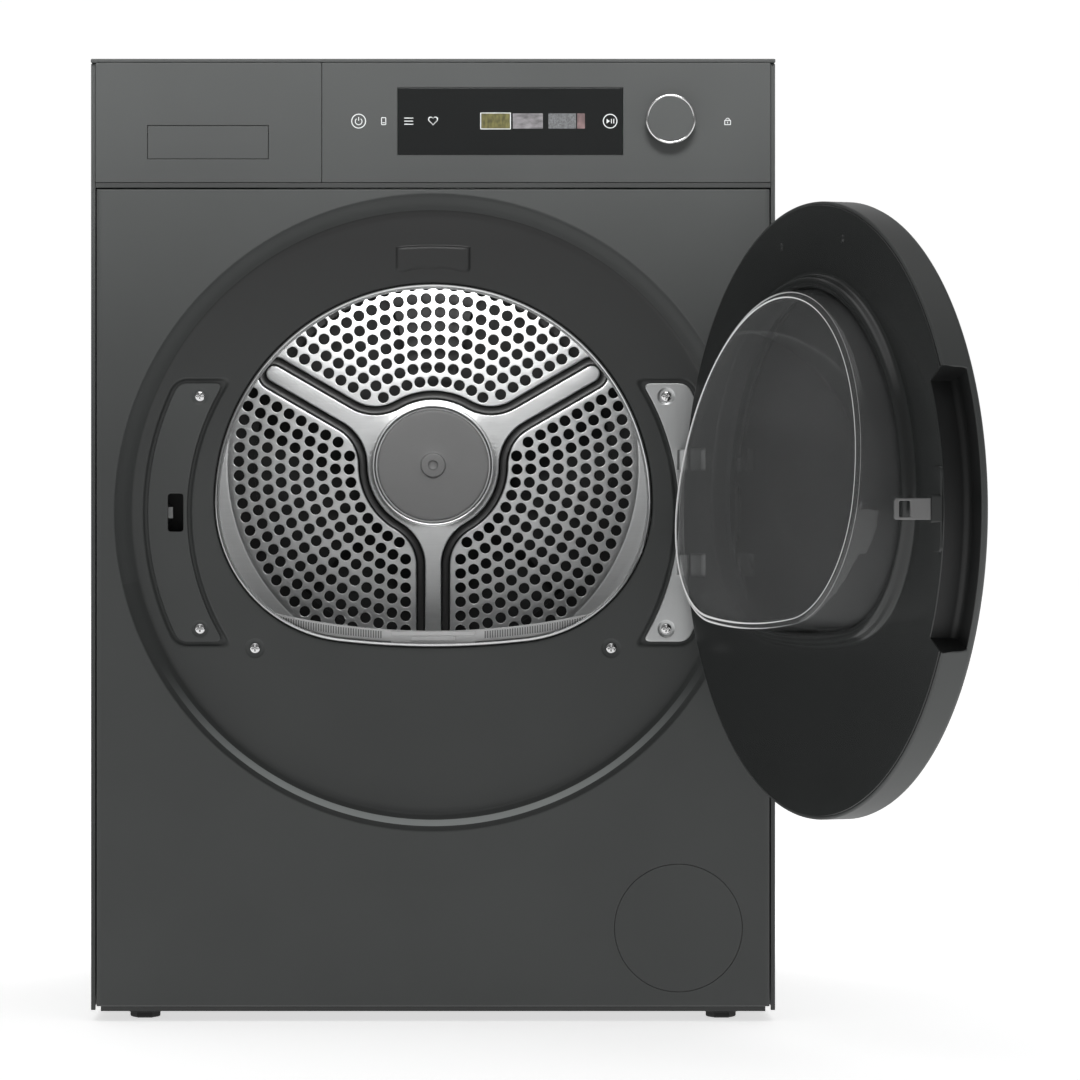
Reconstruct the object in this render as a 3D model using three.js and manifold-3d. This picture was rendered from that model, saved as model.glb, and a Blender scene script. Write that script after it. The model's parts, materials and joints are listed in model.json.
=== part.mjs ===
// A front-loading heat pump clothes dryer with its round door open, as an assembly of separate parts.
// Millimetres, +Z up. The origin is the centre of the base's underside, the front looks along -Y,
// and +X is to the right of someone who faces the machine.
import * as THREE from "three";
import { mergeVertices } from "three/addons/utils/BufferGeometryUtils.js";
import Module from "manifold-3d";

const wasm = await Module();
wasm.setup();

// ---------- driving dimensions ----------
const HALF_WIDTH = 300; // cabinet
const FRONT = -305; // plane of the front panel and of the fascia
const REAR = 300; // outer face of the rear panel
const TOP = 835; // top of the worktop
const SHEET = 1.2; // sheet metal
const GAP = 0.4; // between neighbours
const FACE_GAP = 0.6; // over a face that something may rest on

const FOOT = { x: 254.6, y: 262, height: 8.5, collarR: 16.2, collarTop: 2.2, padR: 13.4, stemR: 5 };

const FASCIA = { halfWidth: 295.6, bottom: 726.5, top: 831.5, depth: 18, wall: 3, seam: -97.7 };
const DISPLAY = { left: -31, right: 166.3, bottom: 750.5, top: 809.5, thick: 3 };
const DIAL = { x: 207.6, z: 781.1, r: 21.9, proud: 13, shaftR: 4 };
const FLAP = { x: -197.2, z: 761.7, width: 106.4, height: 29.4, thick: 2.5 };

const PANEL = { halfWidth: 295, bottom: 4.5, top: 721, thick: 4.5, edge: 3 };
const RING = { z: 437.5, outerR: 279.6, innerR: 265.9, depth: 20 }; // round recess for the door
const FLOOR = FRONT + RING.depth; // front face of the recess floor

const MOUTH = { z: 446.5, topR: 192, cornerR: 123, drop: 127 }; // loading opening
const LIP = 2.5; // wall of the metal mouth ring

const DRUM = { z: 487.5, r: 285, front: -255, rear: 200, sheet: 1.2 };
const DRUM_BACK = { y: 236, discR: 203, hubR: 56, shaftR: 12 };
const LIFTER = { count: 3, tipR: 230, baseHalf: 42, tipHalf: 9 };
const ROLLER = { r: 20, angle: 30, y0: -250, y1: -230, pinR: 4 };

const DOOR = { r: 255.5, inner: FLOOR - 3, thick: 29, wall: 3, windowR: 200, openDeg: 111.5 };
const DOOR_OUTER = DOOR.inner - DOOR.thick;
const HINGE = { x: 240, y: FRONT, pinR: 3, armHalf: 9, armZ: 46, armThick: 4, barrelR: 6 };
const BOWL = { base: -18.3, tip: -33, topDepth: 26, bottomDepth: 56, wall: 3 };
const HANDLE = { halfHeight: 113, strip: 7, reach: 22 };
const STRIKE = { x: -229, reach: 41, height: 17, thick: 2 };
const SLOT = { x: -226.7, halfWidth: 6.7, halfHeight: 16.7 };
const CATCH = { x: -237.7, y: FLOOR + 40, pinR: 2, hubR: 4, arm: 14 };

const COVER = { r: 255.8, innerR: 212, halfHeight: 118.3, thick: 3 }; // pockets beside the mouth
const SCREW = { x: 205.3, dz: 102.4, headR: 4.6, shankR: 2, bulkheadX: 156.8, bulkheadZ: 318 };
const SERVICE = { x: 214.9, z: 73.5, r: 56 };

const BULKHEAD = { y0: -281.5, y1: -278.5, collarR: 262, collarEnd: -248 };
const FILTER = { halfWidth: 138, top: 333, archR: 639, bottom: 236, y0: -276.5, y1: -260.5 };

const MOTOR = { x: -185, z: 100, r: 50, y0: -50, y1: 85, shaftR: 5, pulleyR: 10 };
const IDLER = { x: -96, z: 124, r: 20 };
const BELT = { y: -75, width: 12, thick: 1.6, gap: 1 };
const FAN = { r: 66, y0: 108, y1: 150, housingR: 78 };
const TUNNEL = { x0: 118, x1: 282, z0: 14, z1: 148 }; // heat exchangers

const TANK = { x0: -281, x1: -109, z0: 775.5, z1: 822, y1: 180, wall: 2.5 };

const GLAND = { x: -215, z: 190, r: 11 }; // where the mains lead would leave

const BIG = 48; // sides of large circles
const MID = 24;
const SMALL = 12;
const ARC = 6; // steps on each half of an arc of the mouth

// ---------- solids ----------
function solidOf(geometry) {
  const bare = geometry.clone();
  bare.deleteAttribute("normal");
  bare.deleteAttribute("uv");
  const merged = mergeVertices(bare, 1e-4);
  const index = merged.index.array;
  const triangles = [];
  for (let i = 0; i < index.length; i += 3) {
    const [a, b, c] = [index[i], index[i + 1], index[i + 2]];
    if (a !== b && b !== c && c !== a) triangles.push(a, b, c);
  }
  return new wasm.Manifold(
    new wasm.Mesh({
      numProp: 3,
      vertProperties: merged.attributes.position.array,
      triVerts: new Uint32Array(triangles),
    }),
  );
}

function geometryOf(solid) {
  const mesh = solid.getMesh();
  const geometry = new THREE.BufferGeometry();
  geometry.setAttribute("position", new THREE.BufferAttribute(mesh.vertProperties, 3));
  geometry.setIndex(new THREE.BufferAttribute(mesh.triVerts, 1));
  geometry.computeVertexNormals();
  return geometry;
}

const join = (first, ...others) => others.reduce((sum, s) => sum.add(s), first);
const cut = (first, ...others) => others.reduce((rest, s) => rest.subtract(s), first);

function box(x0, x1, y0, y1, z0, z1) {
  const geometry = new THREE.BoxGeometry(x1 - x0, y1 - y0, z1 - z0);
  geometry.translate((x0 + x1) / 2, (y0 + y1) / 2, (z0 + z1) / 2);
  return solidOf(geometry);
}

function rodY(x, z, r, y0, y1, sides = SMALL) {
  const geometry = new THREE.CylinderGeometry(r, r, y1 - y0, sides);
  geometry.translate(x, (y0 + y1) / 2, z);
  return solidOf(geometry);
}

function rodZ(x, y, r, z0, z1, sides = SMALL) {
  const geometry = new THREE.CylinderGeometry(r, r, z1 - z0, sides);
  geometry.rotateX(Math.PI / 2);
  geometry.translate(x, y, (z0 + z1) / 2);
  return solidOf(geometry);
}

// A shape drawn in X and Z, extruded along Y.
function plateY(shape, y0, y1, sides = SMALL) {
  const geometry = new THREE.ExtrudeGeometry(shape, {
    depth: y1 - y0,
    bevelEnabled: false,
    curveSegments: sides,
  });
  geometry.rotateX(Math.PI / 2);
  geometry.translate(0, y1, 0);
  return solidOf(geometry);
}

// A shape drawn in X and Y, extruded along Z.
function plateZ(shape, z0, z1, sides = SMALL) {
  const geometry = new THREE.ExtrudeGeometry(shape, {
    depth: z1 - z0,
    bevelEnabled: false,
    curveSegments: sides,
  });
  geometry.translate(0, 0, z0);
  return solidOf(geometry);
}

// A closed profile of [radius, y] points turned about an axis along Y.
function turned(profile, x, z, sides = BIG) {
  const points = profile.map(([r, y]) => new THREE.Vector2(r, y));
  if (THREE.ShapeUtils.area(points) < 0) points.reverse();
  points.push(points[0].clone());
  const geometry = new THREE.LatheGeometry(points, sides);
  geometry.translate(x, 0, z);
  return solidOf(geometry);
}

// Rings of points with the same count, anticlockwise in X and Z, from low to high Y,
// skinned and closed at both ends.
function loft(rings) {
  const count = rings[0].length;
  const positions = rings.flat().flatMap((p) => [p.x, p.y, p.z]);
  const index = [];
  for (let k = 0; k + 1 < rings.length; k++) {
    for (let i = 0; i < count; i++) {
      const j = (i + 1) % count;
      const [a, b] = [k * count + i, k * count + j];
      index.push(a, b + count, b, a, a + count, b + count);
    }
  }
  const flat = rings[0].map((p) => new THREE.Vector2(p.x, p.z));
  const last = (rings.length - 1) * count;
  for (const [a, b, c] of THREE.ShapeUtils.triangulateShape(flat, [])) {
    index.push(a, b, c);
    index.push(last + a, last + c, last + b);
  }
  const geometry = new THREE.BufferGeometry();
  geometry.setAttribute("position", new THREE.Float32BufferAttribute(positions, 3));
  geometry.setIndex(index);
  return solidOf(geometry);
}

// ---------- outlines ----------
// The loading opening: a half circle above, two corner arcs and a shallow arc below.
function mouthOutline(offset = 0) {
  const { z, topR, cornerR, drop } = MOUTH;
  const side = topR - cornerR;
  const baseR = (side ** 2 + drop ** 2 - cornerR ** 2) / (2 * (drop - cornerR));
  const baseZ = z - drop + baseR;
  const meet = Math.atan2(z - baseZ, side);
  const shape = new THREE.Shape();
  shape.absarc(0, z, topR + offset, Math.PI, 0, true);
  shape.absarc(side, z, cornerR + offset, 0, meet, true);
  shape.absarc(0, baseZ, baseR + offset, meet, -Math.PI - meet, true);
  shape.absarc(-side, z, cornerR + offset, -Math.PI - meet, -Math.PI, true);
  return shape;
}

// The same opening as points, anticlockwise, for lofts.
function mouthPoints(offset, depthAt) {
  const points = mouthOutline(offset).getPoints(ARC).slice(1).reverse();
  return points.map((p) => new THREE.Vector3(p.x, depthAt(p.y), p.y));
}

const mouthPlate = (offset, y0, y1) => plateY(mouthOutline(offset), y0, y1, ARC);
const mouthRing = (outer, inner, y0, y1) => {
  return cut(mouthPlate(outer, y0, y1), mouthPlate(inner, y0 - 1, y1 + 1));
};

// Part of a ring round the mouth, cut off level: it holds the latch cover, or the hinge plate.
function sidePocket(side, shrink, y0, y1) {
  const reach = COVER.halfHeight - shrink;
  const disc = rodY(0, RING.z, COVER.r - shrink, y0, y1, BIG);
  const band = box(0, HALF_WIDTH, y0 - 1, y1 + 1, RING.z - reach, RING.z + reach);
  const core = rodY(0, RING.z, COVER.innerR + shrink, y0 - 1, y1 + 1, BIG);
  const crescent = cut(disc.intersect(band), core);
  return side > 0 ? crescent : crescent.rotate([0, 0, 180]).translate([0, y0 + y1, 0]);
}

// Bores for the two screws of a side pocket.
function screwHoles(x, y0, y1) {
  return [1, -1].map((s) => rodY(x, RING.z + s * SCREW.dz, SCREW.shankR + GAP, y0, y1));
}

// ---------- assembly ----------
const dryer = new THREE.Group();
const door = new THREE.Group(); // drawn closed, inside a group that turns about the hinge
const doorPivot = new THREE.Group();
doorPivot.position.set(HINGE.x, HINGE.y, 0);
doorPivot.rotation.z = THREE.MathUtils.degToRad(DOOR.openDeg);
door.position.set(-HINGE.x, -HINGE.y, 0);
doorPivot.add(door);
dryer.add(doorPivot);

const LOOKS = {
  graphite: [0x4b4e4e, 0.45, 0.35],
  graphiteDark: [0x2f3231, 0.5, 0.3],
  black: [0x1c1e1e, 0.35, 0],
  glass: [0x151717, 0.08, 0],
  smoke: [0x3a3c3c, 0.06, 0],
  steel: [0xc4c6c8, 0.28, 1],
  zinc: [0x8d9091, 0.4, 0.9],
  plastic: [0x55595a, 0.6, 0],
  light: [0xb9bcbc, 0.55, 0],
  rubber: [0x161616, 0.85, 0],
  copper: [0xa8683e, 0.4, 0.9],
  board: [0x24573a, 0.6, 0],
};

function add(group, name, solid, look) {
  const [color, roughness, metalness] = LOOKS[look];
  const material = new THREE.MeshStandardMaterial({ color, roughness, metalness });
  const mesh = new THREE.Mesh(geometryOf(solid), material);
  mesh.name = name;
  group.add(mesh);
}

// ---------- base and what stands in it ----------
function baseTub() {
  const [x, y0, y1, wallTop] = [291.5, -299, REAR - 6, 150];
  const tub = cut(box(-x, x, y0, y1, 0, wallTop), box(-x + 4, x - 4, y0 + 4, y1 - 4, 8, wallTop + 1));
  const wall = box(TUNNEL.x0 - 8, TUNNEL.x0 - 5, y0 + 2, 120, 7, wallTop - 2);
  const hatch = rodY(SERVICE.x, SERVICE.z, SERVICE.r - 4, y0 - 1, y0 + 6, MID);
  const stems = corners().map(([fx, fy]) => rodZ(fx, fy, FOOT.stemR + GAP, -1, 9));
  return cut(join(tub, wall), hatch, ...stems);
}

const corners = () => [-1, 1].flatMap((sy) => [-1, 1].map((sx) => [sx * FOOT.x, sy * FOOT.y]));

function foot(x, y) {
  const collar = rodZ(x, y, FOOT.collarR, -4.8, -FOOT.collarTop, MID);
  const pad = rodZ(x, y, FOOT.padR, -FOOT.height, -4, 6);
  const stem = rodZ(x, y, FOOT.stemR, -4, 26);
  return join(collar, pad, stem);
}

function heatExchanger(y0, y1, fins) {
  const { x0, x1, z0, z1 } = TUNNEL;
  const pitch = (y1 - y0) / fins;
  const core = box(x0 + 14, x1 - 14, y0, y1, z0 + 20, z1 - 20);
  const plates = Array.from({ length: fins }, (_, i) => {
    const y = y0 + (i + 0.5) * pitch;
    return box(x0 + 4, x1 - 4, y - pitch / 5, y + pitch / 5, z0, z1);
  });
  return join(core, ...plates);
}

function compressor() {
  const profile = [
    [0, 14],
    [40, 14],
    [58, 24],
    [60, 40],
    [60, 130],
    [50, 152],
    [26, 160],
    [0, 162],
  ].map(([r, z]) => new THREE.Vector2(r, z));
  const geometry = new THREE.LatheGeometry(profile, MID);
  geometry.rotateX(Math.PI / 2);
  geometry.translate(5, 150, 0);
  return join(solidOf(geometry), rodZ(5, 150, 8, 155, 176), box(-65, 75, 110, 190, 8.4, 16));
}

function motorBody() {
  const { x, z, r, y0, y1, shaftR } = MOTOR;
  const can = rodY(x, z, r, y0, y1, MID);
  const feet = box(x - 42, x + 42, y0 + 15, y1 - 15, 8.4, z - 30);
  const idlerBar = box(x, IDLER.x + 5, y0 + 2, y0 + 10, z - 10, IDLER.z + 8);
  const idlerPin = rodY(IDLER.x, IDLER.z, 4, BELT.y - 10, y0 + 8);
  return cut(join(can, feet, idlerBar, idlerPin), rodY(x, z, shaftR + GAP, y0 - 1, y1 + 1));
}

function motorRotor() {
  const { x, z, shaftR, pulleyR, y0 } = MOTOR;
  const half = BELT.width / 2 + 2;
  return join(
    rodY(x, z, shaftR, BELT.y - half, FAN.y0 + 6),
    rodY(x, z, pulleyR, BELT.y - half, BELT.y + half, MID),
    rodY(x, z, shaftR + 3, BELT.y, y0 - 2),
  );
}

function fanWheel() {
  const { x, z, shaftR } = MOTOR;
  const { r, y0, y1 } = FAN;
  const plate = rodY(x, z, r, y1 - 3, y1, MID);
  const hub = rodY(x, z, 14, y0 + 8, y1, MID);
  const blades = Array.from({ length: 10 }, (_, i) => {
    const blade = box(12, r - 2, y0 + 12, y1 - 1, -1.5, 1.5);
    return blade.rotate([0, (i * 360) / 10, 0]).translate([x, 0, z]);
  });
  return cut(join(plate, hub, ...blades), rodY(x, z, shaftR + GAP, y0, y0 + 20));
}

function fanHousing() {
  const { x, z } = MOTOR;
  const { housingR: r, y0, y1 } = FAN;
  const shell = turned(
    [
      [34, y0 - 4],
      [r, y0 - 4],
      [r, y1 + 12],
      [r - 2.5, y1 + 12],
      [r - 2.5, y0 - 1.5],
      [34, y0 - 1.5],
    ],
    x,
    z,
    MID,
  );
  const legs = [-50, 50].map((dx) => box(x + dx - 6, x + dx + 6, y0, y1, 8.4, z - r * 0.7));
  const inside = rodY(x, z, r - 2.5, y0 - 1.5, y1 + 12, MID);
  return join(shell, ...legs.map((leg) => cut(leg, inside)));
}

function condensatePump() {
  const body = box(-70, 10, -250, -190, 8.4, 52);
  const cap = rodZ(-30, -220, 22, 50, 84, MID);
  const spout = rodY(-30, 72, 6, -262, -220);
  return join(body, cap, spout);
}

function addBase() {
  add(dryer, "base_tub", baseTub(), "plastic");
  const names = ["foot_front_left", "foot_front_right", "foot_rear_left", "foot_rear_right"];
  corners().forEach(([x, y], i) => add(dryer, names[i], foot(x, y), "rubber"));
  add(dryer, "evaporator", heatExchanger(-230, -110, 8), "zinc");
  add(dryer, "condenser", heatExchanger(-90, 60, 10), "copper");
  add(dryer, "compressor", compressor(), "black");
  add(dryer, "motor_body", motorBody(), "zinc");
  add(dryer, "motor_rotor", motorRotor(), "steel");
  add(dryer, "fan_wheel", fanWheel(), "plastic");
  add(dryer, "fan_housing", fanHousing(), "plastic");
  add(dryer, "condensate_pump", condensatePump(), "black");
}

// ---------- outer panels ----------
function sidePanel(side) {
  const [out, front, rear] = [HALF_WIDTH, FRONT + 5, REAR - 3];
  const shape = new THREE.Shape();
  shape.moveTo(out, front);
  shape.lineTo(out, rear);
  shape.lineTo(out - 16, rear);
  shape.lineTo(out - 16, rear - SHEET);
  shape.lineTo(out - SHEET, rear - SHEET);
  shape.lineTo(out - SHEET, front + SHEET);
  shape.lineTo(out - 4, front + SHEET);
  shape.lineTo(out - 4, front);
  shape.closePath();
  const panel = plateZ(shape, 1, TOP - 4);
  return side > 0 ? panel : panel.mirror([1, 0, 0]);
}

function worktop() {
  const lid = cut(
    box(-HALF_WIDTH, HALF_WIDTH, FRONT + 1, REAR + 6, TOP - 3.4, TOP),
    box(-HALF_WIDTH + 3, HALF_WIDTH - 3, FRONT + 4, REAR + 3, TOP - 4, TOP - 2),
  );
  const rim = cut(
    box(-288, 288, FRONT + 24, REAR - 10, TOP - 12, TOP - 1.5),
    box(-285, 285, FRONT + 27, REAR - 13, TOP - 13, TOP - 2),
  );
  return join(lid, rim);
}

function rearPanel() {
  const [y0, y1] = [REAR - SHEET, REAR];
  const plate = box(-283, 283, y0, y1, 3, TOP - 13);
  const spoke = THREE.MathUtils.degToRad(14);
  const windows = [0, 1, 2].map((i) => {
    const from = Math.PI / 2 + (i * 2 * Math.PI) / 3 + spoke;
    const to = from + (2 * Math.PI) / 3 - 2 * spoke;
    const shape = new THREE.Shape();
    shape.absarc(0, DRUM.z, 180, from, to, false);
    shape.absarc(0, DRUM.z, 80, to, from, true);
    shape.closePath();
    return plateY(shape, y0 - 1, y1 + 1, 8);
  });
  return cut(plate, ...windows, rodY(GLAND.x, GLAND.z, GLAND.r + GAP, y0 - 1, y1 + 1));
}

function rearDuctCover() {
  const y = REAR + FACE_GAP;
  const dish = turned(
    [
      [215, y],
      [215, y + 1.8],
      [203, y + 1.8],
      [188, y + 22],
      [0, y + 22],
      [0, y + 20],
      [186.5, y + 20],
      [201.5, y],
    ],
    0,
    DRUM.z,
  );
  return dish;
}

function rearBearing() {
  const y0 = DRUM_BACK.y + 22;
  const y1 = REAR - 2.8;
  const block = rodY(0, DRUM.z, 30, y0, y1, MID);
  const flange = rodY(0, DRUM.z, 62, y1 - 5, y1, MID);
  return cut(join(block, flange), rodY(0, DRUM.z, DRUM_BACK.shaftR + GAP, y0 - 1, y1 + 1, MID));
}

function cordGland() {
  const { x, z, r } = GLAND;
  const flange = rodY(x, z, r + 5, REAR + FACE_GAP, REAR + 5, MID);
  const body = join(rodY(x, z, r, REAR - 14, REAR + 5), flange);
  return cut(body, rodY(x, z, 4.5, REAR - 15, REAR + 6));
}

function frontPanel() {
  const { halfWidth: x, bottom, top, thick, edge } = PANEL;
  const slab = new THREE.Shape();
  slab.moveTo(-x + edge, FRONT);
  slab.lineTo(x - edge, FRONT);
  slab.absarc(x - edge, FRONT + edge, edge, -Math.PI / 2, 0, false);
  slab.lineTo(x, FRONT + thick);
  slab.lineTo(-x, FRONT + thick);
  slab.absarc(-x + edge, FRONT + edge, edge, Math.PI, 1.5 * Math.PI, false);
  const [z0, z1] = [bottom + SHEET, top - SHEET];
  const backspace = box(-x + SHEET, x - SHEET, FRONT + SHEET, FRONT + thick + 1, z0, z1);
  const face = cut(plateZ(slab, bottom, top, 4), backspace);
  const recess = rodY(0, RING.z, RING.innerR + 6, FRONT - 1, FLOOR + 5, BIG);
  const dish = turned(
    [
      [RING.outerR + 3, FRONT],
      [RING.outerR + 3, FRONT + SHEET],
      [RING.outerR + 1, FRONT + SHEET],
      [RING.innerR + 1.4, FLOOR + SHEET],
      [0, FLOOR + SHEET],
      [0, FLOOR],
      [RING.innerR, FLOOR],
      [RING.outerR, FRONT],
    ],
    0,
    RING.z,
  );
  const catchPad = box(-32.5, 32.5, FLOOR - 2, FLOOR + 1, 650, 673);
  const screwHoles = [-1, 1].map((s) =>
    rodY(s * SCREW.bulkheadX, SCREW.bulkheadZ, SCREW.shankR + GAP, FLOOR - 1, FLOOR + 3),
  );
  return cut(
    join(cut(face, recess, coneOfRing()), dish, catchPad),
    mouthPlate(LIP + 0.7, FLOOR - 3, FLOOR + 3),
    sidePocket(1, 0, FLOOR - 3, FLOOR + 3),
    sidePocket(-1, 0, FLOOR - 3, FLOOR + 3),
    rodY(SERVICE.x, SERVICE.z, SERVICE.r + GAP, FRONT - 1, FRONT + thick + 1, MID),
    ...screwHoles,
  );
}

// What the round recess takes out of the flat face.
function coneOfRing() {
  return turned(
    [
      [0, FRONT - 1],
      [RING.outerR + 0.7, FRONT - 1],
      [RING.innerR, FLOOR],
      [0, FLOOR],
    ],
    0,
    RING.z,
  );
}

function addCabinet() {
  add(dryer, "side_panel_left", sidePanel(-1), "graphite");
  add(dryer, "side_panel_right", sidePanel(1), "graphite");
  add(dryer, "rear_panel", rearPanel(), "zinc");
  add(dryer, "rear_duct_cover", rearDuctCover(), "zinc");
  add(dryer, "rear_bearing", rearBearing(), "plastic");
  add(dryer, "cord_gland", cordGland(), "black");
  add(dryer, "worktop", worktop(), "graphite");
  add(dryer, "front_panel", frontPanel(), "graphite");
  const cover = SERVICE.r - 0.1;
  add(dryer, "service_cover", rodY(SERVICE.x, SERVICE.z, cover, FRONT, FRONT + 3, MID), "graphite");
}

// ---------- front bulkhead, mouth, filter ----------
const screwPlaces = () => [
  [-SCREW.x, RING.z + SCREW.dz],
  [-SCREW.x, RING.z - SCREW.dz],
  [SCREW.x, RING.z + SCREW.dz],
  [SCREW.x, RING.z - SCREW.dz],
  [-SCREW.bulkheadX, SCREW.bulkheadZ],
  [SCREW.bulkheadX, SCREW.bulkheadZ],
];

function rollerPlace(side) {
  const angle = THREE.MathUtils.degToRad(ROLLER.angle);
  const reach = DRUM.r + ROLLER.r + 0.3;
  return [side * reach * Math.sin(angle), DRUM.z - reach * Math.cos(angle)];
}

function frontBulkhead() {
  const { y0, y1, collarR, collarEnd } = BULKHEAD;
  const plate = cut(
    box(-288, 288, y0, y1, 190, 720),
    box(SLOT.x - 19, SLOT.x + 22, y0 - 1, y1 + 1, RING.z - 34, RING.z + 34),
    ...screwPlaces().map(([x, z]) => rodY(x, z, SCREW.shankR + GAP, y0 - 1, y1 + 1)),
  );
  const collar = cut(
    rodY(0, DRUM.z, collarR, y1 - 1, collarEnd, BIG),
    rodY(0, DRUM.z, collarR - 2.5, y1 - 2, collarEnd + 1, BIG),
  );
  const wall = 2;
  const side = FILTER.halfWidth + GAP + wall;
  const duct = box(-side, side, y1 - 1, FILTER.y1 + GAP + wall, FILTER.bottom - 4, MOUTH.z - 100);
  const ductHole = box(
    -side + wall,
    side - wall,
    FILTER.y0 - GAP,
    FILTER.y1 + GAP,
    FILTER.bottom - 2,
    MOUTH.z,
  );
  const pins = [-1, 1].map((s) => rodY(...rollerPlace(s), ROLLER.pinR, y1 - 1, ROLLER.y1 + 5));
  const body = cut(join(plate, collar, duct), ductHole, mouthPlate(GAP, y0 - 1, y1 + 40));
  return join(body, ...pins);
}

function mouthLip() {
  const ring = mouthRing(0, -LIP, FLOOR - 2, FILTER.y1 + 4.5);
  const half = FILTER.halfWidth + GAP;
  return cut(ring, box(-half, half, FILTER.y0 - GAP, FILTER.y1 + GAP, 300, MOUTH.z - 60));
}

function lintFilter() {
  const { halfWidth, top, archR, bottom, y0, y1 } = FILTER;
  const crescent = cut(
    mouthPlate(-LIP - GAP, y0, y1),
    rodY(0, top + archR, archR, y0 - 1, y1 + 1, 120),
  );
  const blade = box(-halfWidth, halfWidth, y0 + 4, y1 - 1, bottom, MOUTH.z - MOUTH.drop + 9);
  const blades = cut(blade, rodY(0, top + archR, archR, y0 - 1, y1 + 1, 120));
  const handle = box(-36, 36, y0 - 1.5, y0 + 3, top - 8.5, top - 1.5);
  const sides = box(-200, 200, y0 - 3, y1 + 3, bottom - 1, MOUTH.z - 93);
  return join(crescent.intersect(sides), blades, handle);
}

function addMouth() {
  add(dryer, "front_bulkhead", frontBulkhead(), "black");
  add(dryer, "mouth_ring", mouthLip(), "steel");
  add(dryer, "mouth_gasket", mouthRing(LIP + 0.3, 0.3, FLOOR - 1, BULKHEAD.y0 - 0.5), "rubber");
  add(dryer, "lint_filter", lintFilter(), "light");
  const roller = ([x, z]) =>
    cut(
      rodY(x, z, ROLLER.r, ROLLER.y0, ROLLER.y1, MID),
      rodY(x, z, ROLLER.pinR + GAP, ROLLER.y0 - 1, ROLLER.y1 + 1),
    );
  add(dryer, "front_roller_left", roller(rollerPlace(-1)), "rubber");
  add(dryer, "front_roller_right", roller(rollerPlace(1)), "rubber");
}

// ---------- latch and hinge hardware ----------
function screw(x, z, face) {
  const head = rodY(x, z, SCREW.headR, face - 2.2, face - 0.2);
  return join(head, rodY(x, z, SCREW.shankR, face - 1, face + 14, 12));
}

function latchCover() {
  const [y0, y1] = [FLOOR, FLOOR + COVER.thick];
  const holes = screwHoles(-SCREW.x, y0 - 1, y1 + 1);
  const { x, halfWidth, halfHeight } = SLOT;
  const slot = box(x - halfWidth, x + halfWidth, y0 - 1, y1 + 1, RING.z - halfHeight, RING.z + halfHeight);
  return cut(sidePocket(-1, 4.5, y0, y1), slot, ...holes);
}

function latchHousing() {
  const [y0, y1] = [FLOOR + COVER.thick + GAP, FLOOR + 54];
  const shell = box(SLOT.x - 18, SLOT.x + 21, y0, y1, RING.z - 33, RING.z + 33);
  const room = box(SLOT.x - 15.5, SLOT.x + 18, y0 - 1, y1 - 3, RING.z - 20, RING.z + 20);
  const pin = rodZ(CATCH.x, CATCH.y, CATCH.pinR, RING.z - 21, RING.z + 21);
  return join(cut(shell, room), pin);
}

// The hook stands clear of the strike at rest and swings through its hole to hold the door.
function latchCatch() {
  const { x, y, pinR, hubR, arm } = CATCH;
  const z = RING.z;
  const lever = box(x - 2.5, x + 2.5, y - arm, y, z - 6, z + 6);
  const hook = box(x, STRIKE.x - 1.6, y - arm, y - arm + 4, z - 5, z + 5);
  return cut(join(lever, hook, rodZ(x, y, hubR, z - 8, z + 8)), rodZ(x, y, pinR + GAP, z - 9, z + 9));
}

function hingePlate() {
  const face = FLOOR + 0.4;
  const back = BULKHEAD.y0 - 0.4;
  const plate = sidePocket(1, 4.5, face, back);
  const { x, y, barrelR, armThick, armHalf, armZ, pinR } = HINGE;
  const bend = x - 25.4;
  const arms = [1, -1].map((s) => {
    const [z0, z1] = [RING.z + s * armZ - armHalf, RING.z + s * armZ + armHalf];
    const run = box(bend + 3, x, y - armThick / 2, y + armThick / 2, z0, z1);
    const corner = rodZ(bend + 3, y + 3 - armThick / 2, 3, z0, z1);
    const leg = box(bend, bend + armThick, y + 1, face + 1, z0, z1);
    const barrel = rodZ(x, y, barrelR, z0, z1, 24);
    return join(run, corner, leg, barrel);
  });
  const holes = screwHoles(SCREW.x, face - 1, back + 1);
  const bore = rodZ(x, y, pinR + GAP, RING.z - 80, RING.z + 80, 24);
  return cut(join(plate, ...arms), bore, ...holes);
}

function addHardware() {
  add(dryer, "latch_cover", latchCover(), "black");
  add(dryer, "latch_housing", latchHousing(), "black");
  add(dryer, "latch_catch", latchCatch(), "steel");
  add(dryer, "hinge_plate", hingePlate(), "zinc");
  const names = [
    "latch_screw_upper",
    "latch_screw_lower",
    "hinge_screw_upper",
    "hinge_screw_lower",
    "bulkhead_screw_left",
    "bulkhead_screw_right",
  ];
  const faces = [0, 0, 0.4, 0.4, 0, 0];
  screwPlaces().forEach(([x, z], i) => add(dryer, names[i], screw(x, z, FLOOR + faces[i]), "steel"));
}

// ---------- drum and drive ----------
function drumShell() {
  const { r, front, rear, sheet } = DRUM;
  return turned(
    [
      [r, front],
      [r, rear],
      [r - sheet, rear],
      [r - sheet, front + sheet],
      [r - 17, front + sheet],
      [r - 17, front],
    ],
    0,
    DRUM.z,
  );
}

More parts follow.
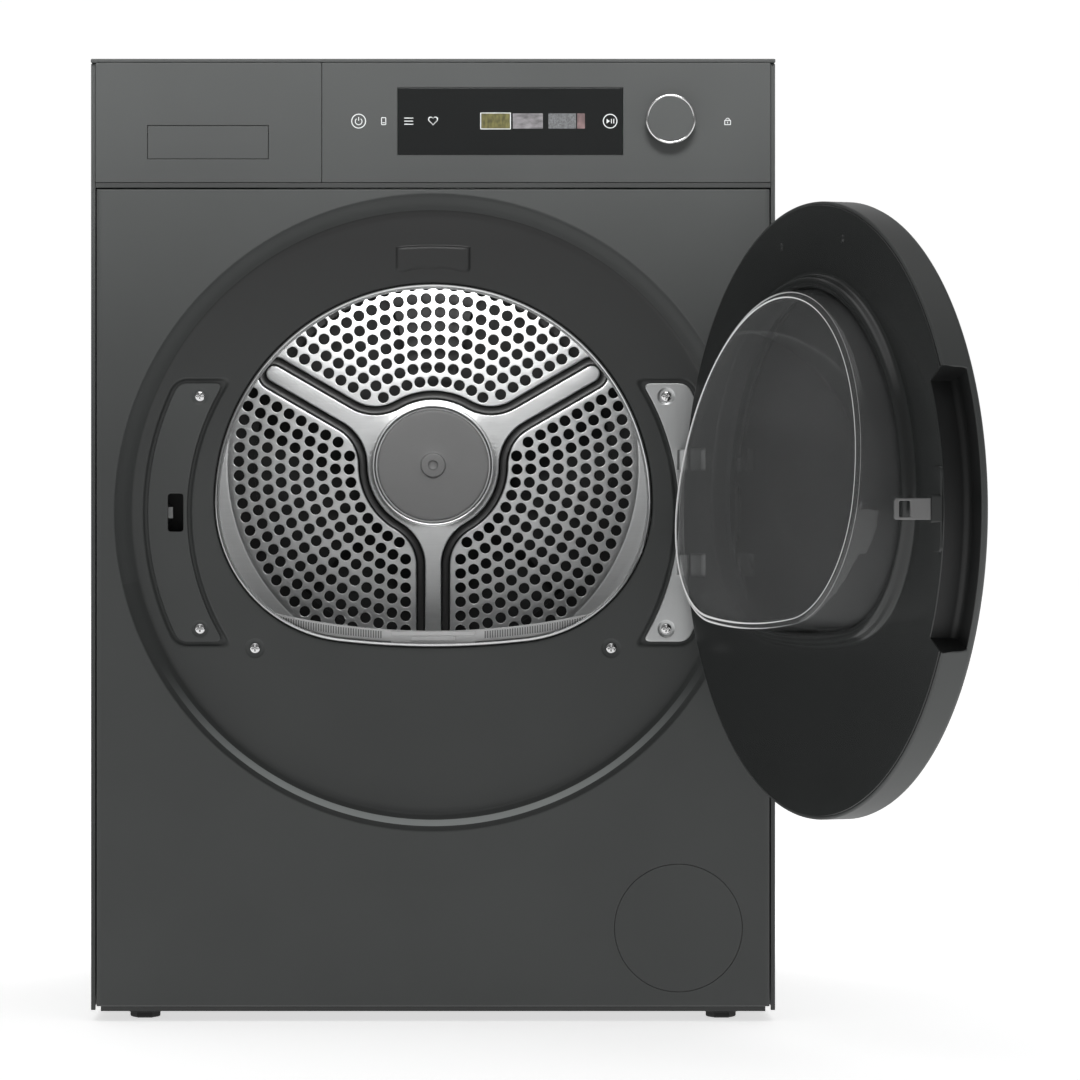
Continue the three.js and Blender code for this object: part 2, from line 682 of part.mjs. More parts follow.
function drumRearWall() {
  const { y, discR, hubR, shaftR } = DRUM_BACK;
  const skirtR = DRUM.r - DRUM.sheet - GAP;
  const wall = turned(
    [
      [skirtR, DRUM.rear - 10],
      [skirtR, DRUM.rear],
      [discR + 12, y],
      [discR, y + 2],
      [hubR + 8, y + 2],
      [hubR + 4, y + 8],
      [0, y + 8],
      [0, y + 2],
      [hubR, y + 2],
      [hubR + 4, y],
      [discR, y],
      [discR + 11, y - 2],
      [skirtR - 1.5, DRUM.rear - 1],
      [skirtR - 1.5, DRUM.rear - 10],
    ],
    0,
    DRUM.z,
  );
  return join(wall, rodY(0, DRUM.z, shaftR, y + 6, REAR - 6, MID));
}

function lifter(i) {
  const { count, tipR, baseHalf, tipHalf } = LIFTER;
  const wallR = DRUM.r - DRUM.sheet - GAP;
  const foot = Math.sqrt(wallR ** 2 - baseHalf ** 2);
  const shape = new THREE.Shape();
  shape.moveTo(-baseHalf, -foot);
  shape.lineTo(-baseHalf * 0.45, -foot - 0.5);
  shape.lineTo(baseHalf * 0.45, -foot - 0.5);
  shape.lineTo(baseHalf, -foot);
  shape.lineTo(tipHalf, -tipR - 4);
  shape.lineTo(tipHalf * 0.5, -tipR);
  shape.lineTo(-tipHalf * 0.5, -tipR);
  shape.lineTo(-tipHalf, -tipR - 4);
  shape.closePath();
  const solid = plateY(shape, DRUM.front + 30, DRUM.rear - 14);
  return solid.rotate([0, 180 + (i * 360) / count, 0]).translate([0, 0, DRUM.z]);
}

// The convex outline round a set of circles.
function beltOutline(circles, extra) {
  const points = circles.flatMap(({ x, z, r }) =>
    Array.from({ length: BIG }, (_, i) => {
      const angle = (i * 2 * Math.PI) / BIG;
      return new THREE.Vector2(x + (r + extra) * Math.cos(angle), z + (r + extra) * Math.sin(angle));
    }),
  );
  points.sort((a, b) => a.x - b.x || a.y - b.y);
  const turn = (o, a, b) => (a.x - o.x) * (b.y - o.y) - (a.y - o.y) * (b.x - o.x);
  const chain = (list) => {
    const hull = [];
    for (const p of list) {
      while (hull.length > 1 && turn(hull[hull.length - 2], hull[hull.length - 1], p) <= 1e-6) hull.pop();
      hull.push(p);
    }
    return hull.slice(0, -1);
  };
  return new THREE.Shape([...chain(points), ...chain([...points].reverse())]);
}

function drumBelt() {
  const circles = [
    { x: 0, z: DRUM.z, r: DRUM.r },
    { x: MOTOR.x, z: MOTOR.z, r: MOTOR.pulleyR },
    IDLER,
  ];
  const [y0, y1] = [BELT.y - BELT.width / 2, BELT.y + BELT.width / 2];
  const inner = plateY(beltOutline(circles, BELT.gap), y0 - 1, y1 + 1);
  return cut(plateY(beltOutline(circles, BELT.gap + BELT.thick), y0, y1), inner);
}

function addDrum() {
  add(dryer, "drum_shell", drumShell(), "steel");
  add(dryer, "drum_rear_wall", drumRearWall(), "steel");
  const { y, hubR } = DRUM_BACK;
  const cap = join(
    rodY(0, DRUM.z, hubR, y - 6, y - 2, BIG),
    rodY(0, DRUM.z, 30, y - 3, y + 1.6, MID),
    rodY(0, DRUM.z, 12, y - 8, y - 4, MID),
  );
  add(dryer, "hub_cap", cap, "plastic");
  for (let i = 0; i < LIFTER.count; i++) add(dryer, `drum_lifter_${i + 1}`, lifter(i), "plastic");
  add(dryer, "drum_belt", drumBelt(), "rubber");
  const { x, z, r } = IDLER;
  const half = BELT.width / 2 + 1;
  const wheel = cut(rodY(x, z, r, BELT.y - half, BELT.y + half, MID), rodY(x, z, 4 + GAP, -100, -50));
  add(dryer, "idler_pulley", wheel, "black");
}

// ---------- fascia, controls, tank ----------
function shell(x0, x1, z0, z1, y1) {
  const w = FASCIA.wall;
  return cut(
    box(x0, x1, FRONT, y1, z0, z1),
    box(x0 + w, x1 - w, FRONT + w, y1 + 1, z0 + w, z1 - w),
  );
}

function fasciaFrame() {
  const { halfWidth, bottom } = FASCIA;
  const strip = box(-halfWidth, halfWidth, FRONT + 0.4, FLOOR + 0.5, PANEL.top + 1, bottom - GAP);
  const plate = box(-288, 288, FLOOR - 1, FLOOR + 0.5, PANEL.top + 1, 818);
  const tankWay = box(TANK.x0 - 4, TANK.x1 + 4, FLOOR - 10, FLOOR + 3, TANK.z0 - 4, 820);
  return cut(join(strip, plate), tankWay);
}

function fasciaPanel() {
  const { halfWidth, bottom, top, depth, seam } = FASCIA;
  const body = shell(seam + GAP, halfWidth, bottom, top, FRONT + depth);
  const { left, right, bottom: low, top: high } = DISPLAY;
  return cut(
    body,
    box(left, right, FRONT - 1, FRONT + 5, low, high),
    rodY(DIAL.x, DIAL.z, DIAL.shaftR + GAP, FRONT - 1, FRONT + 5),
  );
}

function addFascia() {
  const { left, right, bottom, top, thick } = DISPLAY;
  add(dryer, "fascia_frame", fasciaFrame(), "graphiteDark");
  add(dryer, "fascia_panel", fasciaPanel(), "graphite");
  const glass = box(left + 0.3, right - 0.3, FRONT, FRONT + thick, bottom + 0.3, top - 0.3);
  add(dryer, "display_glass", glass, "glass");
  const board = join(
    box(-60, 190, FRONT + 9, FRONT + 11, 738, 820),
    box(-40, 60, FRONT + 11, FRONT + 15, 760, 800),
  );
  add(dryer, "control_board", board, "board");
  const knob = join(
    rodY(DIAL.x, DIAL.z, DIAL.r, FRONT - DIAL.proud, FRONT - GAP, MID),
    rodY(DIAL.x, DIAL.z, DIAL.shaftR, FRONT - 1, FRONT + 12),
  );
  add(dryer, "dial_knob", knob, "graphite");
}

function tankFront() {
  const { halfWidth, bottom, top, seam } = FASCIA;
  const back = FLOOR - 2;
  const body = shell(-halfWidth, seam, bottom, top, back);
  const { x, z, width, height } = FLAP;
  const hole = box(x - width / 2, x + width / 2, FRONT - 1, FRONT + 4, z - height / 2, z + height / 2);
  return cut(body, hole);
}

function waterTank() {
  const { x0, x1, z0, z1, y1, wall } = TANK;
  const y0 = FLOOR - 1.6;
  const body = box(x0, x1, y0, y1, z0, z1);
  const room = box(x0 + wall, x1 - wall, y0 + wall, y1 - wall, z0 + wall, z1 - wall);
  const filler = rodZ((x0 + x1) / 2, y1 - 40, 16, z1 - 5, z1 + 1, MID);
  return cut(body, room, filler);
}

function addTank() {
  add(dryer, "tank_front", tankFront(), "graphite");
  const { x, z, width, height, thick } = FLAP;
  const flap = box(
    x - width / 2 + GAP,
    x + width / 2 - GAP,
    FRONT,
    FRONT + thick,
    z - height / 2 + GAP,
    z + height / 2 - GAP,
  );
  add(dryer, "tank_flap", flap, "graphite");
  add(dryer, "water_tank", waterTank(), "light");
}

// ---------- door ----------
function armSlots() {
  return [1, -1].map((s) => {
    const z = RING.z + s * HINGE.armZ;
    const [z0, z1] = [z - HINGE.armHalf - 1, z + HINGE.armHalf + 1];
    return join(
      box(HINGE.x - 33, HINGE.x + 13, HINGE.y - 8.5, DOOR.inner + 15, z0, z1),
      box(HINGE.x + 10, HINGE.x + 20, HINGE.y + 1, DOOR.inner + 15, z0, z1),
    );
  });
}

// What the rim loses beside the hinge, so that it swings clear of the hinge plate.
function swingRelief() {
  const { x, armZ } = HINGE;
  return box(x + 9, x + 20, DOOR.inner - 4.5, DOOR.inner + 1, RING.z - armZ, RING.z + armZ);
}

// A sector of the rim on the side away from the hinge.
function rimSector(outerR, innerR, y0, y1, halfHeight) {
  const ring = cut(rodY(0, RING.z, outerR, y0, y1, BIG), rodY(0, RING.z, innerR, y0 - 1, y1 + 1, BIG));
  return ring.intersect(box(-outerR - 1, 0, y0 - 1, y1 + 1, RING.z - halfHeight, RING.z + halfHeight));
}

function handlePocket(floorY) {
  return rimSector(DOOR.r + 1, DOOR.r - HANDLE.reach, floorY, DOOR.inner + 1, HANDLE.halfHeight);
}

function doorCover() {
  const { r, inner, wall, windowR } = DOOR;
  const out = DOOR_OUTER;
  const ring = turned(
    [
      [windowR, out],
      [r - 4, out],
      [r, out + 4],
      [r, inner + 0.5],
      [r - 2.5, inner - 1],
      [r - wall, inner - 1],
      [r - wall, out + 5],
      [windowR + 6, out + wall],
      [windowR + 6, out + 8],
      [windowR - 8, out + 8],
      [windowR - 8, out + 5.4],
      [windowR, out + 5.4],
    ],
    0,
    RING.z,
  );
  const block = box(
    HINGE.x - 20,
    HINGE.x + 11,
    out + 2,
    inner - 2.4,
    RING.z - 76,
    RING.z + 76,
  );
  const pocketR = r - HANDLE.reach;
  const innerWall = rimSector(pocketR, pocketR - 2.5, out + 2, inner - 2.4, HANDLE.halfHeight + 2.5);
  const cheeks = cut(
    rimSector(r - 1, pocketR - 1, out + 2, inner - 2.4, HANDLE.halfHeight + 2.5),
    rimSector(r, pocketR - 2, out + 1, inner, HANDLE.halfHeight),
  );
  const floor = rimSector(r - 1, pocketR - 1, out + 2, out + HANDLE.strip, HANDLE.halfHeight + 2);
  const disc = rodY(0, RING.z, r - 1, out + 1, inner - 2.4, BIG);
  const grip = join(disc.intersect(block), innerWall, cheeks, floor);
  const bore = rodZ(HINGE.x, HINGE.y, HINGE.pinR + GAP, RING.z - 73, RING.z + 73, 24);
  const pocket = handlePocket(out + HANDLE.strip);
  return cut(join(ring, grip), bore, pocket, swingRelief(), ...armSlots());
}

function doorLiner() {
  const { r, inner } = DOOR;
  const plate = rodY(0, RING.z, r - 3.4, inner - 2, inner, BIG);
  const ridge = mouthPlate(-6, inner - 1, inner + 9);
  const opening = mouthPlate(BOWL.base + 0.4, inner - 3, inner + 12);
  const strikeHole = box(
    STRIKE.x - 1.6,
    STRIKE.x + 1.6,
    inner - 3,
    inner + 2,
    RING.z - STRIKE.height / 2 - GAP,
    RING.z + STRIKE.height / 2 + GAP,
  );
  const pocket = handlePocket(inner - 3);
  return cut(join(plate, ridge), opening, strikeHole, pocket, swingRelief(), ...armSlots());
}

function bowlLoft(shrink, depthLoss) {
  const { inner } = DOOR;
  const { base, tip, topDepth, bottomDepth } = BOWL;
  const [high, low] = [MOUTH.z + MOUTH.topR + tip, MOUTH.z - MOUTH.drop - tip];
  const depth = (z) => topDepth + ((high - z) / (high - low)) * (bottomDepth - topDepth) - depthLoss;
  const back = inner - 6 - depthLoss;
  const steps = [
    [base, () => back],
    [base, (z) => inner + 0.3 * depth(z)],
    [base - 3, (z) => inner + 0.72 * depth(z)],
    [base - 7, (z) => inner + 0.92 * depth(z)],
    [tip, (z) => inner + depth(z)],
  ];
  return loft(steps.map(([offset, y]) => mouthPoints(offset - shrink, y)));
}

function doorBowl() {
  const { inner } = DOOR;
  const flange = mouthPlate(BOWL.base + 9, inner - 7, inner - 2.4);
  const outer = join(bowlLoft(0, 0), flange);
  return cut(outer, bowlLoft(BOWL.wall, BOWL.wall));
}

function doorStrike() {
  const { x, reach, height, thick } = STRIKE;
  const tip = DOOR.inner + reach;
  const [z0, z1] = [RING.z - height / 2, RING.z + height / 2];
  const blade = box(x - thick / 2, x + thick / 2, DOOR.inner - 5, tip, z0, z1);
  const foot = box(x - thick / 2, x + 12, DOOR.inner - 6.4, DOOR.inner - 4.4, z0, z1);
  const hole = box(x - thick, x + thick, tip - 13.5, tip - 3.5, z0 + 2, z1 - 2);
  return cut(join(blade, foot), hole);
}

function addDoor() {
  add(door, "door_cover", doorCover(), "graphite");
  const window = rodY(0, RING.z, DOOR.windowR - GAP, DOOR_OUTER, DOOR_OUTER + 5, BIG);
  add(door, "door_window", window, "glass");
  add(door, "door_liner", doorLiner(), "black");
  add(door, "door_bowl", doorBowl(), "smoke");
  add(door, "door_strike", doorStrike(), "zinc");
  const pin = rodZ(HINGE.x, HINGE.y, HINGE.pinR, RING.z - 72.5, RING.z + 72.5, 24);
  add(door, "hinge_pin", pin, "steel");
}

addBase();
addCabinet();
addMouth();
addHardware();
addDrum();
addFascia();
addTank();
addDoor();

export default dryer;
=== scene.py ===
"""The looks of a front-loading heat pump clothes dryer, built round its CAD frame.

Shapes are worked out in millimetres in the row frame (+Z up, -Y out of the front) and turned into
metres where a mesh is made. The door is drawn closed, and turned open about its hinge at the end.
"""

import json
import math

import bmesh
import bpy
from mathutils import Matrix, Vector
from mathutils.geometry import delaunay_2d_cdt


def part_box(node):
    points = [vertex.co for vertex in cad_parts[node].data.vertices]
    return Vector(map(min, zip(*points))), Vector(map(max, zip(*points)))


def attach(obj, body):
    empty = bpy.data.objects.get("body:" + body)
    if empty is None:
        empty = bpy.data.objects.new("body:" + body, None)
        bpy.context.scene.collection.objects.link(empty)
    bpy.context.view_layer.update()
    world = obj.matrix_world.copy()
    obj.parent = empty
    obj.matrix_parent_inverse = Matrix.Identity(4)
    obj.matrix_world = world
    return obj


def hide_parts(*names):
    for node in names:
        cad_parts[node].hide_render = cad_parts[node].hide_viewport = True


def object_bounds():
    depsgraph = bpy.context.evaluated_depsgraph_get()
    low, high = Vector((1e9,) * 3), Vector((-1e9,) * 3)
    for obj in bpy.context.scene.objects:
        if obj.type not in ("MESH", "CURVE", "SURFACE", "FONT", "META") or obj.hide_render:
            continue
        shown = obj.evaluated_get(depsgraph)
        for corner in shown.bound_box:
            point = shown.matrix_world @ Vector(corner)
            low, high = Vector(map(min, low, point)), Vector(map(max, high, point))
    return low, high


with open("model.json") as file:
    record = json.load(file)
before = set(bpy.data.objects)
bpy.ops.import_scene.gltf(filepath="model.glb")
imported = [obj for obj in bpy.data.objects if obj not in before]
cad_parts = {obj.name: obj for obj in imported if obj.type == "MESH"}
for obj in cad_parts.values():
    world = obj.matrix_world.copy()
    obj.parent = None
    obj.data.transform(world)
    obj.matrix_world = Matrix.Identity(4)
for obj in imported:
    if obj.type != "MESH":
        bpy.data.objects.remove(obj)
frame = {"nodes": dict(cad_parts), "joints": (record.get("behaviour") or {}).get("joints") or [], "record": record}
cad_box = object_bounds()

MM = 0.001
JOINTS = {joint["name"]: joint for joint in frame["joints"]}
SLOT_OF = {part["node"]: part["material_slot"] for part in frame["record"]["subparts"]}


class Box:
    """The corners of a CAD node, in millimetres."""

    def __init__(self, node):
        low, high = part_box(node)
        self.x0, self.y0, self.z0 = (value / MM for value in low)
        self.x1, self.y1, self.z1 = (value / MM for value in high)
        self.x, self.z = (self.x0 + self.x1) / 2, (self.z0 + self.z1) / 2


# ---------- driving dimensions, from the frame ----------
PANEL = Box("front_panel")
WINDOW = Box("door_window")
RIM = Box("mouth_ring")
SHELL = Box("drum_shell")
HUB = Box("hub_cap")
DIAL = Box("dial_knob")
GLASS = Box("display_glass")
SERVICE = Box("service_cover")
FILTER = Box("lint_filter")
DUCT = Box("rear_duct_cover")
GLAND = Box("cord_gland")

FRONT = PANEL.y0
RECESS = 20  # depth of the round recess for the door
FLOOR = FRONT + RECESS
RING_Z = WINDOW.z
RING_R = 279.6  # recess, at the front face
FLOOR_R = 259  # where its flat floor begins

MOUTH_R = RIM.x1  # half circle over the loading opening
MOUTH_Z = RIM.z1 - MOUTH_R
MOUTH_DROP = MOUTH_Z - RIM.z0
MOUTH_CORNER = 123
MOUTH_SIDE = MOUTH_R - MOUTH_CORNER
BASE_R = (MOUTH_SIDE**2 + MOUTH_DROP**2 - MOUTH_CORNER**2) / (2 * (MOUTH_DROP - MOUTH_CORNER))
BASE_Z = MOUTH_Z - MOUTH_DROP + BASE_R
MEET = math.atan2(BASE_Z - MOUTH_Z, MOUTH_SIDE)
LIP = 2.5  # wall of the metal ring in the mouth

POCKET_R, POCKET_INNER_R = 255.8, 212  # pockets of the latch cover and of the hinge plate
POCKET_HALF = 118.3
COVER_GAP = 4.5  # round the latch cover and the hinge plate
SCREW_X, SCREW_DZ = 205.3, 102.4
BULKHEAD_SCREW = Box("bulkhead_screw_right")

DRUM_Z = SHELL.z
BACK_Y = HUB.y0 + 8  # front face of the drum's rear wall
DISC_R = 203

DOOR_R = 255.5
DOOR_IN = FLOOR - 3  # closed door: liner face, and outer face
DOOR_OUT = DOOR_IN - 29
DOOR_GLASS_R = 200
HANDLE_R = DOOR_R - 22  # bottom of the finger grip in the rim
HANDLE_HALF = 113
BOWL_BASE, BOWL_TIP = -18.3, -33  # bowl outline inside the mouth's, at the liner and at the tip
BOWL_TOP, BOWL_BOTTOM = 26, 56  # how deep it reaches past the liner
RIDGE = 9

TURN = 192  # steps round a large circle


# ---------- outlines: lists of (x, z), anticlockwise ----------
def arc(x, z, r, start, end, steps, closed=False):
    """Points of an arc, without its last one unless closed."""
    count = steps + 1 if closed else steps
    angles = [start + (end - start) * i / steps for i in range(count)]
    return [(x + r * math.cos(a), z + r * math.sin(a)) for a in angles]


def circle(r, x=0.0, z=None, steps=TURN):
    return arc(x, RING_Z if z is None else z, r, 0, math.tau, steps)


def rect(x0, x1, z0, z1, r, steps=6):
    """A rectangle with round corners."""
    centres = [(x1 - r, z0 + r), (x1 - r, z1 - r), (x0 + r, z1 - r), (x0 + r, z0 + r)]
    points = []
    for i, (x, z) in enumerate(centres):
        start = (i - 1) * math.pi / 2
        points += arc(x, z, r, start, start + math.pi / 2, steps, closed=True)
    return points


def mouth(offset=0.0):
    """The loading opening: a half circle above, two corner arcs and a shallow arc below."""
    left, right = math.pi + MEET, math.tau - MEET
    corner = MOUTH_CORNER + offset
    return (
        arc(0, MOUTH_Z, MOUTH_R + offset, 0, math.pi, 96)
        + arc(-MOUTH_SIDE, MOUTH_Z, corner, math.pi, left, 36)
        + arc(0, BASE_Z, BASE_R + offset, left, right, 40)
        + arc(MOUTH_SIDE, MOUTH_Z, corner, right, math.tau, 36)
    )


def along(edge, distance):
    """The point a distance along a polyline."""
    for a, b in zip(edge, edge[1:]):
        step = math.dist(a, b)
        if distance <= step:
            share = distance / step
            return (a[0] + (b[0] - a[0]) * share, a[1] + (b[1] - a[1]) * share)
        distance -= step
    return edge[-1]


def rounded(edges, radius, steps=20, corner_steps=6):
    """Edges that meet end to end, cut back from their corners, with a curve over each corner."""
    outline = []
    cut = []
    for edge in edges:
        length = sum(math.dist(a, b) for a, b in zip(edge, edge[1:]))
        run = length - 2 * radius
        cut.append([along(edge, radius + run * i / steps) for i in range(steps + 1)])
    for i, edge in enumerate(cut):
        a, b, c = edge[-1], edges[i][-1], cut[(i + 1) % len(cut)][0]
        outline += edge
        for k in range(1, corner_steps):
            t = k / corner_steps
            p, q, r = (1 - t) ** 2, 2 * t * (1 - t), t**2
            outline.append((p * a[0] + q * b[0] + r * c[0], p * a[1] + q * b[1] + r * c[1]))
    return outline


def pocket(side, shrink, corner=11):
    """Part of a ring round the mouth, cut off level, on the left (-1) or the right (1)."""
    reach, r, inner_r = POCKET_HALF - shrink, POCKET_R - shrink, POCKET_INNER_R + shrink
    end, inner_end = math.asin(reach / r), math.asin(reach / inner_r)
    outer = arc(0, RING_Z, r, -end, end, 60, closed=True)
    inner = arc(0, RING_Z, inner_r, inner_end, -inner_end, 60, closed=True)
    upper = [outer[-1], inner[0]]
    lower = [inner[-1], outer[0]]
    outline = rounded([outer, upper, inner, lower], corner)
    return outline if side > 0 else [(-x, z) for x, z in reversed(outline)]


def inside(point, loop):
    """Whether a point is inside a closed outline."""
    x, z = point
    found = False
    for (x0, z0), (x1, z1) in zip(loop, loop[1:] + loop[:1]):
        if (z0 > z) != (z1 > z) and x < x0 + (z - z0) * (x1 - x0) / (z1 - z0):
            found = not found
    return found


# ---------- meshes ----------
class Shape:
    """Points in millimetres and faces, gathered until they are made into one mesh."""

    def __init__(self):
        self.points, self.faces = [], []

    def add(self, points):
        start = len(self.points)
        self.points += [Vector(p) for p in points]
        return list(range(start, len(self.points)))

    def skin(self, rows, closed=True):
        """Skins rows of equally many points. Closed rows join their ends."""
        ids = [self.add(row) for row in rows]
        count = len(ids[0])
        for a, b in zip(ids, ids[1:]):
            for i in range(count if closed else count - 1):
                j = (i + 1) % count
                self.faces.append((a[i], a[j], b[j], b[i]))

    def fill(self, loops, place):
        """A face inside the first loop and outside the others. place lifts (x, z) to a point."""
        flat, edges, owner = [], [], []
        for k, loop in enumerate(loops):
            start, count = len(flat), len(loop)
            flat += [Vector(p) for p in loop]
            owner += [k] * count
            edges += [(start + i, start + (i + 1) % count) for i in range(count)]
        points, _, faces, origins, *_ = delaunay_2d_cdt(flat, edges, [], 0, 1e-6)
        ids = self.add([place(p.x, p.y) for p in points])
        for face in faces:
            loops_met = {owner[origins[i][0]] for i in face}
            centre = sum((points[i] for i in face), Vector((0, 0))) / len(face)
            k = loops_met.pop()
            if not loops_met and inside(centre, loops[k]) != (k == 0):
                continue
            self.faces.append(tuple(ids[i] for i in face))


def lift(points, y):
    return [(x, y, z) for x, z in points]


def edge_rows(loop, face, back, size, steps=4):
    """Rows from a face round an edge of radius size, and down to the back. loop(inset) gives points."""
    down = 1 if back > face else -1
    rows = []
    for i in range(steps + 1):
        angle = i / steps * math.pi / 2
        rows.append(lift(loop(size * (1 - math.sin(angle))), face + down * size * (1 - math.cos(angle))))
    return rows + [lift(loop(0), back)]


def plate(shape, outline, face, back, size, holes=()):
    """A sheet with round front edges. outline(inset) shrinks, and each hole(grow) grows."""
    for loop in (outline, *holes):
        shape.skin(edge_rows(loop, face, back, size))
    shape.fill([outline(size)] + [hole(size) for hole in holes], lambda x, z: (x, face, z))
    shape.fill([outline(0)] + [hole(0) for hole in holes], lambda x, z: (x, back, z))


def turned(shape, profile, x, z, steps=TURN, closed=True):
    """A profile of (radius, y) turned about an axis along Y."""
    rows = [lift(circle(r, x, z, steps), y) for r, y in profile]
    shape.skin(rows + rows[:1] if closed else rows)


def upright(shape, profile, x, y, steps=48, turn=0.0):
    """A profile of (radius, z) turned about an axis along Z."""
    rows = []
    for r, z in profile:
        rows.append([(px, py, z) for px, py in arc(x, y, r, turn, turn + math.tau, steps)])
    shape.skin(rows)


def block(shape, x0, x1, y0, y1, z0, z1, r=1.0):
    """A bar along Y with round edges along its length and at its front."""
    plate(shape, lambda d: rect(x0 + d, x1 - d, z0 + d, z1 - d, max(r - d, 0.05)), y0, y1, r * 0.6)


def swept(path, section):
    """Rows of a section of (sideways, up) offsets carried along a flat path of (x, y), at height z."""
    rows = []
    for i, (x, y) in enumerate(path):
        before, after = path[max(i - 1, 0)], path[min(i + 1, len(path) - 1)]
        dx, dy = after[0] - before[0], after[1] - before[1]
        length = math.hypot(dx, dy)
        nx, ny = -dy / length, dx / length
        rows.append([(x + nx * side, y + ny * side, up) for side, up in section])
    return rows


def smooth_bend(corner, before, after, r, steps=8):
    """Points of a bend of radius about r at a corner of a path."""
    a = Vector(before) - Vector(corner)
    c = Vector(after) - Vector(corner)
    start, end = Vector(corner) + a.normalized() * r, Vector(corner) + c.normalized() * r
    points = []
    for k in range(steps + 1):
        t = k / steps
        points.append(tuple(start * (1 - t) ** 2 + Vector(corner) * 2 * t * (1 - t) + end * t**2))
    return points


hinge = JOINTS["door_hinge"]
HINGE_X, HINGE_Y = hinge["pos_m"][0] / MM, hinge["pos_m"][1] / MM
OPEN = (
    Matrix.Translation((HINGE_X, HINGE_Y, 0))
    @ Matrix.Rotation(math.radians(-hinge["range_deg"][0]), 4, "Z")
    @ Matrix.Translation((-HINGE_X, -HINGE_Y, 0))
)


def piece(name, shape, body, stands_for=(), slot=None, sharp=38, place=None, second=None):
    """Makes a shape a piece that rides on a body and takes a slot's finish.

    second is a material, and a test of a face's middle (undone from its place) for what gets it.
    """
    mesh = bpy.data.meshes.new(name)
    points = [(place @ p if place else p) * MM for p in shape.points]
    mesh.from_pydata(points, [], shape.faces)
    work = bmesh.new()
    work.from_mesh(mesh)
    bmesh.ops.remove_doubles(work, verts=work.verts, dist=2e-6)
    bmesh.ops.dissolve_degenerate(work, edges=work.edges, dist=1e-6)
    bmesh.ops.recalc_face_normals(work, faces=work.faces)
    work.to_mesh(mesh)
    work.free()
    mesh.shade_smooth()
    mesh.set_sharp_from_angle(angle=math.radians(sharp))
    thing = bpy.data.objects.new(name, mesh)
    bpy.context.scene.collection.objects.link(thing)
    flatten = thing.modifiers.new("flat_faces_stay_flat", "WEIGHTED_NORMAL")
    flatten.weight = 90
    flatten.keep_sharp = True
    slot = slot or SLOT_OF[stands_for[0]]
    mesh.materials.append(finish(slot))
    if second:
        material, test = second
        back = place.inverted() if place else Matrix.Identity(4)
        mesh.materials.append(material)
        for face in mesh.polygons:
            face.material_index = int(test(back @ (face.center / MM)))
    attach(thing, body)
    if stands_for:
        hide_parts(*stands_for)
    return thing


def door_piece(name, shape, stands_for=(), slot=None, sharp=38, second=None):
    return piece(name, shape, "door", stands_for, slot, sharp, place=OPEN, second=second)


# ---------- materials ----------
class Nodes:
    """A short way to write a material's nodes."""

    def __init__(self, name):
        self.material = bpy.data.materials.new(name)
        self.material.use_nodes = True
        self.tree = self.material.node_tree
        self.shader = self.tree.nodes["Principled BSDF"]
        self.coords = self.add("ShaderNodeTexCoord").outputs["Object"]

    def add(self, kind, **values):
        node = self.tree.nodes.new(kind)
        for key, value in values.items():
            setattr(node, key, value)
        return node

    def link(self, output, target):
        self.tree.links.new(output, target)

    def set(self, **values):
        for key, value in values.items():
            self.shader.inputs[key.replace("_", " ")].default_value = value

    def scaled(self, x, y, z):
        node = self.add("ShaderNodeMapping")
        node.inputs["Scale"].default_value = (x, y, z)
        self.link(self.coords, node.inputs["Vector"])
        return node.outputs["Vector"]

    def noise(self, scale, detail=3.0, vector=None):
        node = self.add("ShaderNodeTexNoise")
        node.inputs["Scale"].default_value = scale
        node.inputs["Detail"].default_value = detail
        self.link(vector or self.coords, node.inputs["Vector"])
        return node.outputs["Fac"]

    def spread(self, value, low, high):
        """A value from 0..1 (mostly 0.3..0.7) spread over low..high."""
        node = self.add("ShaderNodeMapRange")
        node.inputs["From Min"].default_value = 0.3
        node.inputs["From Max"].default_value = 0.7
        node.inputs["To Min"].default_value = low
        node.inputs["To Max"].default_value = high
        self.link(value, node.inputs["Value"])
        return node.outputs["Result"]

    def tint(self, value, dark, light):
        node = self.add("ShaderNodeMix", data_type="RGBA")
        node.inputs["A"].default_value = (*dark, 1)
        node.inputs["B"].default_value = (*light, 1)
        self.link(value, node.inputs["Factor"])
        self.link(node.outputs["Result"], self.shader.inputs["Base Color"])

    def bump(self, height, strength, distance):
        node = self.add("ShaderNodeBump")
        node.inputs["Strength"].default_value = strength
        node.inputs["Distance"].default_value = distance
        self.link(height, node.inputs["Height"])
        self.link(node.outputs["Normal"], self.shader.inputs["Normal"])


def shade(colour, share):
    return tuple(c * share for c in colour)


def coated(name, colour, rough, grain, bump, metallic=0.0, coat=0.0):
    """A painted or moulded surface: fine grain, and faint large patches."""
    nodes = Nodes(name)
    nodes.set(Metallic=metallic, Coat_Weight=coat)
    patches = nodes.noise(9, 2)
    fine = nodes.noise(grain, 4)
    nodes.tint(nodes.spread(patches, 0, 1), shade(colour, 0.95), shade(colour, 1.05))
    nodes.link(nodes.spread(fine, rough * 0.92, rough * 1.08), nodes.shader.inputs["Roughness"])
    if bump:
        nodes.bump(fine, bump, 0.0003)
    return nodes.material


